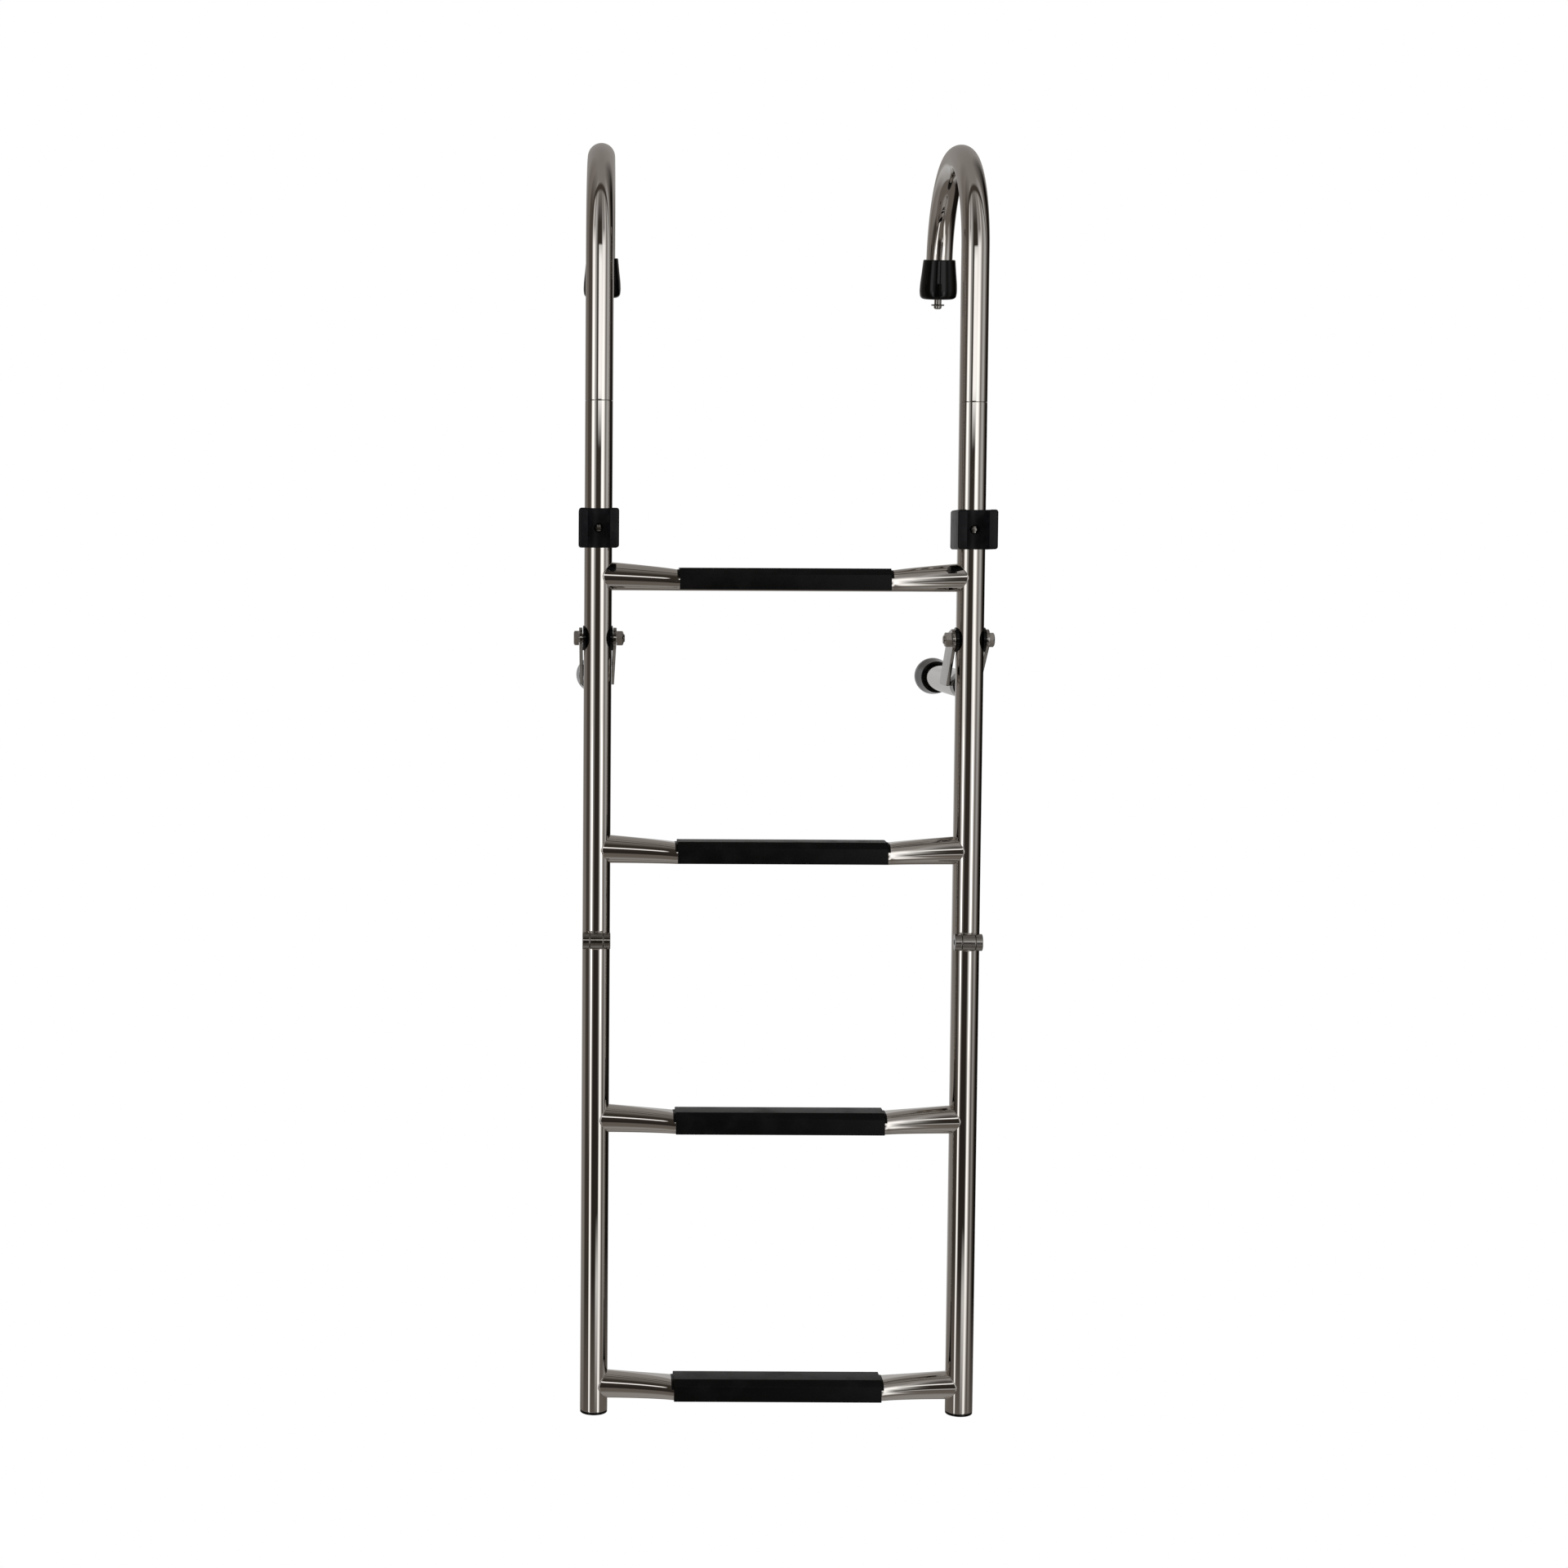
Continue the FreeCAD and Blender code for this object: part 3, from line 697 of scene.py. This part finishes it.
# %% Beads round the rung ends
def cope_line(x, z, radius, steps=72):
    """The closed line where a rung of that radius meets the rail at x."""
    inward = -1 if x > 0 else 1
    points = []
    for i in range(steps):
        a = 2 * math.pi * i / steps
        y = radius * math.cos(a)
        away = math.sqrt(max(TUBE_R**2 - y**2, 0.0))
        points.append(Vector((x + inward * away, RAIL_Y + y, z + radius * math.sin(a))))
    return points


def bead(name, lines, body, radius, seed):
    """One piece of one or more beads. A line is (points, closed)."""
    points, edges = [], []
    for line, closed in lines:
        first = len(points)
        points += line
        edges += [(first + i, first + i + 1) for i in range(len(line) - 1)]
        if closed:
            edges.append((len(points) - 1, first))
    obj = draft(name, metres(points), edges)
    nodes_modifier(obj, BEAD, bead_radius=radius * MM, seed=seed, material=STEEL)
    piece(obj, name, body, "polished_tube", crisp=50)


END_R = RUNG_END_H / 2
for i, z in enumerate(RUNG_Z):
    ends = [(cope_line(x, z - TUBE_R + END_R, END_R + 0.2), True) for x in SIDES.values()]
    bead(f"rung_{i + 1}_welds", ends, RUNG_BODY[i], 1.0, float(i))
print("rung welds made:", 2 * len(RUNG_Z))

# %% [markdown]
# ## Treads
# Each tread is an extruded strip that snaps round the pressed tube: chamfered along its top
# edges, with skirts that hold the tube's round sides. An extrusion is a section swept along a
# line. At each end a thin collar, which hugs the top of the tube, shows past the strip.


# %% Helpers for solid shapes
def prism(start, end):
    """Points and faces between two outlines that match point for point."""
    n = len(start)
    faces = [(k, (k + 1) % n, n + (k + 1) % n, n + k) for k in range(n)]
    return start + end, faces + [tuple(reversed(range(n))), tuple(range(n, 2 * n))]


def several(parts):
    """Joins (points, faces) pairs."""
    points, faces = [], []
    for some, more in parts:
        first = len(points)
        points += some
        faces += [tuple(first + k for k in face) for face in more]
    return points, faces


print("solid helpers ready")

# %% Treads
TREAD_HALF, TREAD_TOP, TREAD_LENGTH = 17.5, 7.1, 192.0
TOP_HALF, SHOULDER_Z, LIP_HALF = 12.5, 1.5, 11.0
SEAT_R, SEAT_FLAT = 8.4, 6.91
COLLAR_R, COLLAR_BORE, COLLAR_Z = 10.0, 8.9, 8.3 - TUBE_R
COLLAR_IN, COLLAR_OUT = 0.8, 2.35


def mirrored(points):
    """Points on one side of the middle, in the other direction on the other side."""
    return [(-y, z) for y, z in reversed(points)]


def tread_section():
    """The section as (depth, height) from the rung's centre line, going round once."""
    low = -TUBE_R
    flank = [(LIP_HALF, low), (TREAD_HALF, low), (TREAD_HALF, SHOULDER_Z), (TOP_HALF, TREAD_TOP)]
    centre = low + SEAT_R - 0.1
    start = math.asin((LIP_HALF - SEAT_FLAT) / SEAT_R)
    arc = [start + (math.pi - start) * i / 14 for i in range(15)]
    seat = [(-SEAT_FLAT - SEAT_R * math.sin(a), centre - SEAT_R * math.cos(a)) for a in arc]
    return flank + mirrored(flank) + seat + mirrored(seat)


def tread_collar():
    """The thin collar, seen along the rung: it hugs the top and the upper sides of the tube."""
    low = math.asin(2.8 / COLLAR_R)
    angles = [low + (math.pi / 2 - low) * k / 10 for k in range(11)]
    loops = []
    for r in (COLLAR_R, COLLAR_BORE):
        side = [(SEAT_FLAT + r * math.cos(a), COLLAR_Z + r * math.sin(a)) for a in angles]
        loops.append(side + mirrored(side))
    return loops[0] + loops[1][::-1]


def tread(i, z):
    """One tread: the strip, and a collar at each end."""
    half = TREAD_LENGTH / 2
    strip, collar = tread_section(), tread_collar()
    runs = [(strip, -half, half), (collar, -half - COLLAR_OUT, -half + COLLAR_IN)]
    runs.append((collar, half - COLLAR_IN, half + COLLAR_OUT))
    parts = []
    for outline, start, end in runs:
        ends = [[(x, RAIL_Y + y, z + h) for y, h in outline] for x in (start, end)]
        parts.append(prism(*ends))
    points, faces = several(parts)
    obj = draft("tread", metres(points), faces=faces)
    eased(obj, 0.7, 3, 35)
    name = f"snap_tread_{i + 1}"
    piece(obj, name, RUNG_BODY[i], "black_tread", TREAD, [f"tread_{i + 1}"])


for i, z in enumerate(RUNG_Z):
    tread(i, z)
print("treads made:", len(RUNG_Z))

# %% [markdown]
# ## Turned pieces
# Rubber tips, plugs, bumpers, studs and pins are all turned or moulded round an axis, so an
# outline of (distance, radius) is spun into a skin. Corners in the outline are rounded first,
# because a glossy edge shows its radius before anything else.

# %% Helpers for turned pieces
FLANK = 0.12  # a point this far past each arc keeps the straight stretch's shading straight


def softened(outline, radius, steps):
    """Rounds each inner corner with a small arc. A corner may bring its own radius."""
    result = [outline[0][:2]]
    for i in range(1, len(outline) - 1):
        a, b, c = (Vector(outline[j][:2]) for j in (i - 1, i, i + 1))
        want = outline[i][2] if len(outline[i]) > 2 else radius
        ab, cb = a - b, c - b
        if want <= 0 or ab.length < 1e-6 or cb.length < 1e-6:
            result.append(tuple(b))
            continue
        half = ab.angle(cb) / 2
        back = min(want / math.tan(half), ab.length * 0.49, cb.length * 0.49)
        real = back * math.tan(half)
        to_a, to_c = ab.normalized(), cb.normalized()
        start, end = b + to_a * back, b + to_c * back
        centre = b + (to_a + to_c).normalized() * (real / math.sin(half))
        if ab.length - back > 3 * FLANK:
            result.append(tuple(start + to_a * FLANK))
        for k in range(steps + 1):
            p = start.lerp(end, k / steps) - centre
            result.append(tuple(centre + p.normalized() * real))
        if cb.length - back > 3 * FLANK:
            result.append(tuple(end + to_c * FLANK))
    return result + [outline[-1][:2]]


def spun(outline, start, direction, sides=72):
    """Points and faces of an outline turned round an axis. Radius 0 makes a closed pole."""
    axis = Vector(direction).normalized()
    turn = axis.to_track_quat("Z", "Y")
    points, faces, rings = [], [], []
    for s, r in outline:
        if r < 1e-6:
            rings.append([len(points)])
            points.append(Vector(start) + axis * s)
            continue
        rings.append(list(range(len(points), len(points) + sides)))
        for k in range(sides):
            a = 2 * math.pi * k / sides
            points.append(Vector(start) + turn @ Vector((r * math.cos(a), r * math.sin(a), s)))
    for a, b in zip(rings, rings[1:]):
        for k in range(sides):
            n = (k + 1) % sides
            corners = [a[k % len(a)], a[n % len(a)], b[n % len(b)], b[k % len(b)]]
            face = tuple(dict.fromkeys(corners))
            if len(face) > 2:
                faces.append(face)
    return points, faces


def turned(name, outlines, body, slot, material, node):
    """A piece of one or more turned shapes, each (outline, start, direction)."""
    points, faces = several([spun(*shape) for shape in outlines])
    obj = draft(name, metres(points), faces=faces)
    piece(obj, name, body, slot, material, [node], 40)


print("turning helpers ready")

# %% Rubber tips, studs, plugs and bumpers
TIP = [(END_RUN, 0), (END_RUN, 12.8, 1.0), (0.0, 12.8, 0.8), (0.0, 15.55, 1.1), (13.0, 16.85, 60.0)]
TIP += [(23.0, 17.95, 60.0), (31.0, 18.3, 30.0), (36.2, 17.5, 12.0), (38.2, 14.6, 6.0)]
TIP += [(TIP_LENGTH, 9.0, 6.0), (TIP_LENGTH, 0)]
STUD = [(32.0, 0), (32.0, 3.5, 0), (43.1, 3.5, 0.4), (43.1, 6.2, 0.2), (43.8, 6.5, 0.3)]
STUD += [(44.4, 6.2, 0.2), (44.4, 3.75, 0.3), (46.8, 3.75, 1.0), (47.7, 2.4, 0.8), (47.7, 0)]
PLUG = [(20, 0), (20, 11.3, 0.5), (0.05, 11.3, 0), (0.05, 12.6, 0.3), (-2.5, 12.6, 0.6), (-2.5, 0)]
BUMPER = [(0, 0), (0, 12.6, 2.2), (20.9, 12.6, 0.3), (20.9, 11.3, 0), (39, 11.3, 0.4), (39, 0)]
TIP, STUD = softened(TIP, 1.0, 8), softened(STUD, 0.3, 4)
PLUG, BUMPER = softened(PLUG, 0.4, 5), softened(BUMPER, 0.4, 5)
for side, x in SIDES.items():
    bend_end = (0, BEND_R * (1 + math.cos(LEAN)), SPRING_Z + BEND_R * math.sin(LEAN))
    start, way = Vector((x, RAIL_Y, 0)) + toed_in(bend_end, x), toed_in(TIP_WAY, x)
    foot = (x, RAIL_Y + LEG_REACH - TIP_LENGTH, LEG_Z)
    nose = (x, RAIL_Y + TUBE_R + 0.3, LEG_Z)
    leg, out, up = side + "_standoff", (0, 1, 0), (0, 0, 1)
    rubber, steel = ("black_rubber", RUBBER), ("steel_fastener", STRAP)
    rows = [
        ("_cap", (TIP, start, way), "upper_frame", *rubber, "_hook_cap"),
        ("_stud", (STUD, start, way), "upper_frame", *steel, "_hook_stud"),
        ("_foot", (TIP, foot, out), leg, *rubber, "_leg_foot"),
        ("_bumper", (BUMPER, nose, out), leg, *rubber, "_leg_bumper"),
        ("_plug", (PLUG, (x, RAIL_Y, RAIL_END_Z), up), "lower_frame", *rubber, "_foot_plug"),
    ]
    for name, shape, *given, node in rows:
        turned(side + name, [shape], *given, side + node)
print("turned pieces made: 10")

# %% [markdown]
# ## Fold hinges
# Each hinge is a barrel in three knuckles on one pin: the outer two belong to the upper rail, the
# middle one to the lower rail. The knuckles are bored, lightly eased at their ends and welded to
# the tube.

# %% Hinge knuckles, pins and their welds
BORE_R, PIN_R = 2.6, 2.5
MIDDLE, LEFT, RIGHT = (-6.0, 6.0), (-12.7, -6.3), (6.3, 12.7)  # where the knuckles lie on the pin


def knuckle(ends, axis):
    """A bored sleeve between two places along the pin, closed on itself."""
    a, b = ends
    line = [(a, BORE_R), (a, BARREL_R, 0.5), (b, BARREL_R, 0.5), (b, BORE_R)]
    return softened(line, 0.5, 4) + [(a, BORE_R)], axis, (1, 0, 0)


def joint_line(x, low, high, upwards, steps=24):
    """Where the rail's tube meets the barrel, between two offsets from the rail's middle."""
    points = []
    for i in range(steps + 1):
        dx = low + (high - low) * i / steps
        y = RAIL_Y - math.sqrt(max(TUBE_R**2 - dx**2, 0.0))
        rise = math.sqrt(max(BARREL_R**2 - (y - HINGE_Y) ** 2, 0.0))
        points.append(Vector((x + dx, y - 0.2, HINGE_Z + upwards * (rise + 0.1))))
    return points


PIN = softened([(-11.2, 0), (-11.2, PIN_R, 0.5), (11.2, PIN_R, 0.5), (11.2, 0)], 0.5, 5)
for side, x in SIDES.items():
    axis = Vector((x, HINGE_Y, HINGE_Z))
    outer = side + "_knuckles", [knuckle(RIGHT, axis), knuckle(LEFT, axis)]
    turned(*outer, "upper_frame", "polished_tube", STRAP, side + "_hinge_upper")
    middle = side + "_mid_knuckle", [knuckle(MIDDLE, axis)]
    turned(*middle, "lower_frame", "polished_tube", STRAP, side + "_hinge_lower")
    pin = side + "_pin", [(PIN, axis, (1, 0, 0))]
    turned(*pin, "upper_frame", "steel_fastener", FASTENER, side + "_hinge_pin")
    pair = [(joint_line(x, 6.8, 9.9, 1), False), (joint_line(x, -9.9, -6.8, 1), False)]
    bead(side + "_hinge_welds", pair, "upper_frame", 1.5, 11.0)
    single = [(joint_line(x, -5.0, 5.0, -1), False)]
    bead(side + "_mid_weld", single, "lower_frame", 1.5, 12.0)
print("hinges made: 2")

# %% [markdown]
# ## Clips and their screws
# The clip is a block of hard plastic with two round seats: one grips the rail, the open one in
# front catches the folded rail. The block's corners are rounded before the seats are cut, so the
# rims of the seats stay crisp, as they do in a mould. The cross in each screw's head is cut the
# same way.

# %% Clips
CLIP_HALF, CLIP_TALL, CLIP_BACK, CLIP_FRONT = 18.1, 17.8, 9.5, -39.02
FOLDED_Y = 2 * HINGE_Y - RAIL_Y
RECESS_Y = FOLDED_Y + TUBE_R + 0.2 + 2.5
RECESS_R, HOLE_R = 4.5, 2.2
ARM, ARM_HALF, CROSS_TURN = 2.1, 0.42, math.radians(24)
SCREW = [(-9, 0), (-9, 1.5, 0.2), (-7.5, 2.1, 0.3), (0, 2.1, 0), (0, 3.75, 0.1), (0.6, 3.75, 0.4)]
SCREW = softened(SCREW + [(1.6, 3.1, 0.7), (2.1, 1.9, 0.5), (2.15, 0)], 0.3, 4)


def solid(name, shape):
    """A working object from (points, faces) in millimetres."""
    points, faces = shape
    return draft(name, metres(points), faces=faces)


def cut_piece(obj, cutters, *given):
    """Cuts each cutter out of a working shape, then finishes it as a piece."""
    for tool in cutters:
        made = obj.modifiers.new("Cut", "BOOLEAN")
        made.operation, made.object, made.solver = "DIFFERENCE", tool, "EXACT"
    piece(obj, *given)
    for tool in cutters:
        bpy.data.objects.remove(tool)


def bar(radius, start, direction, length):
    """A plain round bar, for cutting."""
    line = [(0, 0), (0, radius), (length, radius), (length, 0)]
    return solid("cutter", spun(line, start, direction, 96))


def block(x, low, high):
    """A box between two (depth, height) corners, as wide as the clip."""
    corners = (low[0], low[1]), (high[0], low[1]), (high[0], high[1]), (low[0], high[1])
    sides = [[(x + dx, *corner) for corner in corners] for dx in (-CLIP_HALF, CLIP_HALF)]
    return solid("clip", prism(*sides))


def cross_cut(x):
    """A plus sign, a little turned, that goes into the screw's head from the front."""
    outline = []
    for k in range(4):
        a = CROSS_TURN - k * math.pi / 2
        c, s = math.cos(a), math.sin(a)
        for u, v in ((ARM, ARM_HALF), (ARM, -ARM_HALF), (ARM_HALF, -ARM_HALF)):
            outline.append((u * c - v * s, u * s + v * c))
    ends = [[(x + u, RECESS_Y - deep, CLIP_Z + v) for u, v in outline] for deep in (0.9, 3.5)]
    return solid("cutter", prism(*ends))


for side, x in SIDES.items():
    low = RAIL_Y + CLIP_FRONT, CLIP_Z - CLIP_TALL
    shape = block(x, low, (RAIL_Y + CLIP_BACK, CLIP_Z + CLIP_TALL))
    eased(shape, 2.4, 5, 60)
    cuts = [
        bar(TUBE_R + 0.1, (x, RAIL_Y, CLIP_Z - 20), (0, 0, 1), 40),
        bar(TUBE_R + 0.2, (x, FOLDED_Y, CLIP_Z - 20), (0, 0, 1), 40),
        bar(RECESS_R, (x, RECESS_Y, CLIP_Z), (0, -1, 0), 12),
        bar(HOLE_R, (x, RAIL_Y, CLIP_Z), (0, -1, 0), 20),
    ]
    clip = side + "_rail_clip", "upper_frame", "black_plastic", PLASTIC, [side + "_clip"]
    cut_piece(shape, cuts, *clip)
    blank = solid("screw", spun(SCREW, (x, RECESS_Y, CLIP_Z), (0, -1, 0), 48))
    screw = side + "_cross_screw", "upper_frame", "steel_fastener", STRAP
    cut_piece(blank, [cross_cut(x)], *screw, [side + "_clip_screw"])
print("clips made: 2")

# %% [markdown]
# ## Finishes for the CAD parts that stay
# Straps, saddle washers and bolts are right as they are: they get a finish, and a weld and smooth
# step so that their curved faces shade as curves.


# %% Geometry tree: smooth faces
def smooth_tree():
    inputs = [("Crisp angle", "Float", math.radians(30))]
    tree, given, out = geometry_tree("Smooth faces", inputs)
    feeds = {"Geometry": given["Geometry"], "Distance": 2e-6}
    merged = take(tree, "GeometryNodeMergeByDistance", feeds)
    angle = take(tree, "GeometryNodeInputMeshEdgeAngle")
    feeds = {0: angle, 1: given["Crisp angle"]}
    sharp = take(tree, "FunctionNodeCompare", feeds, operation="GREATER_THAN")
    feeds = {0: merged, "Shade Smooth": True}
    soft = take(tree, "GeometryNodeSetShadeSmooth", feeds)
    feeds = {0: soft, "Selection": sharp, "Shade Smooth": False}
    edges = take(tree, "GeometryNodeSetShadeSmooth", feeds, domain="EDGE")
    return ended(tree, out, edges, given["Material"])


SMOOTH = smooth_tree()
KEPT = {"pivot_spacers": RUBBER, "pivot_bolt": FASTENER, "leg_straps": STRAP}
for side in SIDES:
    for part, material in KEPT.items():
        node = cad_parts[f"{side}_{part}"]
        node.data.materials.clear()
        node.data.materials.append(material)
        nodes_modifier(node, SMOOTH, material=material)
print("CAD parts finished:", 2 * len(KEPT))

# %% [markdown]
# ## The studio
# Three soft lamps and a pale floor. What the mirror-bright tube shows is the room, so the room is
# built too: a tent that only reflections see, with two tall bright windows, brown dark between
# them, boards underfoot, a grey ceiling with one beam, and pale walls behind the ladder.


# %% Floor and lamps
def seen_directly(tree):
    """1 for rays from the camera, from a mirror or through glass, and 0 for soft light."""
    path = add(tree, "ShaderNodeLightPath").outputs
    seen = Result(tree, path["Is Camera Ray"]).calc("MAXIMUM", path["Is Glossy Ray"])
    return seen.calc("MAXIMUM", path["Is Transmission Ray"])


def floor_material():
    """Plain white where it is seen, with a little real shade left near the ladder."""
    white = (1, 1, 1, 1)
    material, tree, shader = finish("Pale floor", Roughness=0.9, Base_Color=(0.9, 0.9, 0.9, 1))
    place = vector_calc(tree, "MULTIPLY", object_place(tree), (1, 1, 0))
    away = vector_calc(tree, "LENGTH", place, output="Value")
    share = seen_directly(tree) * remap(away, 0.8, 1.0, 0.6, 1.5)
    glow = take(tree, "ShaderNodeEmission", {"Color": white, "Strength": 1.0})
    feeds = {0: share, 1: shader.outputs[0], 2: glow}
    mixed = take(tree, "ShaderNodeMixShader", feeds)
    feed(tree, tree.nodes["Material Output"], {0: mixed})
    return material


FLOOR_Z = -1.95
corners = [(-9, -9, FLOOR_Z), (9, -9, FLOOR_Z), (9, 9, FLOOR_Z), (-9, 9, FLOOR_Z)]
floor = draft("floor", corners, faces=[(0, 1, 2, 3)])
floor.name = "floor"
floor.data.materials.append(floor_material())


def lamp(name, place, size, watts):
    """A soft round lamp that looks at the middle of the ladder, and that no mirror shows."""
    data = bpy.data.lights.new(name, "AREA")
    data.shape, data.size, data.energy = "DISK", size, watts
    made = bpy.data.objects.new(name, data)
    bpy.context.scene.collection.objects.link(made)
    made.location = place
    way = Vector((0, 0, -0.6)) - Vector(place)
    made.rotation_euler = way.to_track_quat("-Z", "Y").to_euler()
    made.visible_glossy = False


lamp("lamp left", (-2.2, -2.2, 1.0), 1.4, 42)
lamp("lamp right", (2.0, -2.4, 0.8), 1.4, 34)
lamp("lamp above", (0.2, 0.2, 2.2), 1.6, 30)
print("floor at", FLOOR_Z)

# %% World
world = bpy.data.worlds.new("White surround")
bpy.context.scene.world = world
world.use_nodes = True
tree = world.node_tree
strength = remap(seen_directly(tree), 0.45, 1.0)
feed(tree, tree.nodes["Background"], {"Color": (1, 1, 1, 1), "Strength": strength})
print("world ready")

# %% The room that the tubes mirror
CENTRE, TENT_R = Vector((0.0, -0.1, -0.57)), 2.6
# Each panel stands from one bearing to another, in degrees to the right of the camera, with its
# level. The first three numbers hold a little above the eye, the other three well below it.
PANELS = [
    ("behind, left", (-180, -158, 160), (-180, -155, 145)),
    ("pale wall far left", (-140, -108, 104), (-136, -104, 116)),
    ("doorway left", (-98, -67, 72), (-90, -54, 56)),
    ("window left", (-57, -46, 260), (-48, -43, 260)),
    ("curtain", (-37, -31, 145), (-33, -31, 72)),
    ("dark cupboard", (-23, 12, 52), (-28, 21, 42)),
    ("window right", (20, 35, 260), (30, 36, 255)),
    ("window frame", (50, 55, 112), (55, 60, 72)),
    ("pale wall right", (68, 82, 160), (72, 80, 128)),
    ("passage right", (94, 100, 78), (90, 96, 70)),
    ("dark corner", (108, 152, 20), (102, 146, 26)),
    ("behind, right", (162, 180, 160), (166, 180, 145)),
]


def warm(level):
    """A screen level of 0 to 255 as light: neutral when bright, brown in the darks."""
    linear = (level / 255) ** 2.2 / 0.64
    brown = min(max((150 - level) / 90, 0.0), 1.0)
    return (linear, linear * (1 - 0.18 * brown), linear * (1 - 0.32 * brown), 1)


def ring(turn, which):
    """The panels all round at one height."""
    node = add(turn.tree, "ShaderNodeValToRGB", {0: turn})
    elements = node.color_ramp.elements
    elements.remove(elements[1])
    spans = [panel[which] for panel in PANELS]
    stops = [((place + 180) / 360, warm(level)) for a, b, level in spans for place in (a, b)]
    elements[0].position, elements[0].color = stops[0]
    for place, colour in stops[1:]:
        elements.new(place).color = colour
    return node.outputs[0]


def near(value, middle, half, soft):
    """1 within half of a middle, fading to 0 over a soft edge."""
    return remap(abs(value - middle), 1.0, 0.0, half, half + soft)


def rising(value, start, end):
    """0 at the start, 1 from the end on."""
    return remap(value, 0.0, 1.0, start, end)


print("panels:", len(PANELS))


# %% What stands in front of the panels, over and under them
def layers(tree, bearing, rise, pitch):
    """What is laid over the panels, as (share, colour), by bearing and rise in degrees."""

    def at(*spans):
        """1 at bearings within one of the spans, each (middle, half, soft)."""
        share = near(bearing, *spans[0])
        for span in spans[1:]:
            share = share.calc("MAXIMUM", near(bearing, *span))
        return share

    walls = rising(abs(bearing), 126.0, 146.0)
    windows = at((-50.0, 4.0, 9.0), (27.0, 9.0, 9.0))
    sun = at((-44.0, 2.0, 1.5), (35.0, 2.5, 1.5))
    shine = at((-44.0, 2.0, 5.0), (33.0, 4.0, 8.0)) * rising(rise, -56.0, -44.0)
    return [
        (at((2.0, 13.0, 4.0)) * near(rise, 15.0, 3.0, 2.5), warm(245)),  # a lamp
        (at((18.0, 12.0, 6.0)) * near(rise, -29.0, 3.0, 3.0), warm(190)),  # a bench
        (walls * rising(rise, 9.0, 16.0), warm(125)),  # the upper walls behind
        (windows * rising(rise, 14.0, 34.0), warm(128)),  # the walls over the windows
        (sun * near(rise, -9.0, 5.0, 2.0), (3.0, 3.0, 3.0, 1.0)),  # the sun in them
        (rising(rise, 40.0, 76.0), warm(118)),  # the ceiling
        (near(pitch, 74.0, 2.0, 3.0), warm(60)),  # a beam across it
        (rising(rise, -25.0, -32.0), over(tree, shine, warm(92), warm(240))),  # shiny boards
        (rising(rise, -60.0, -72.0), warm(128)),  # and what lies straight below
    ]


def tent_material():
    """Panels in two heights, and the layers over them, as plain light."""
    material = bpy.data.materials.new("Room seen in the tube")
    material.use_nodes = True
    tree = material.node_tree
    tree.nodes.remove(tree.nodes["Principled BSDF"])
    way = vector_calc(tree, "SUBTRACT", object_place(tree), tuple(CENTRE))
    right, back, up = split(tree, vector_calc(tree, "NORMALIZE", way))
    ahead, degrees = back * -1.0, 180 / math.pi
    bearing = right.calc("ARCTAN2", ahead) * degrees
    rise = up.calc("ARCSINE") * degrees
    pitch = up.calc("ARCTAN2", ahead) * degrees
    turn = rising(bearing, -180.0, 180.0)
    colour = over(tree, rising(rise, 9.0, -20.0), ring(turn, 1), ring(turn, 2))
    for share, level in layers(tree, bearing, rise, pitch):
        colour = over(tree, share, colour, level)
    glow = take(tree, "ShaderNodeEmission", {"Color": colour, "Strength": 1.0})
    feed(tree, tree.nodes["Material Output"], {0: glow})
    return material


def tent():
    """A ball cut flat just over the floor, seen by reflections only."""
    steps = 32
    angles = [math.pi * i / steps for i in range(steps + 1)]
    line = [(TENT_R * -math.cos(a), TENT_R * math.sin(a)) for a in angles]
    points, faces = spun(line, CENTRE, (0, 0, 1), 64)
    points = [Vector((p.x, p.y, max(p.z, FLOOR_Z + 0.01))) for p in points]
    made = draft("tent", points, faces=faces)
    made.name = "tent"
    made.data.materials.append(tent_material())
    made.data.shade_smooth()
    for ray in ("camera", "diffuse", "shadow", "transmission", "volume_scatter"):
        setattr(made, "visible_" + ray, False)


tent()
print("tent radius", TENT_R)

# %% [markdown]
# ## Colour and the end
# Standard view keeps every colour as it is written.

# %% View
bpy.context.scene.view_settings.view_transform = "Standard"
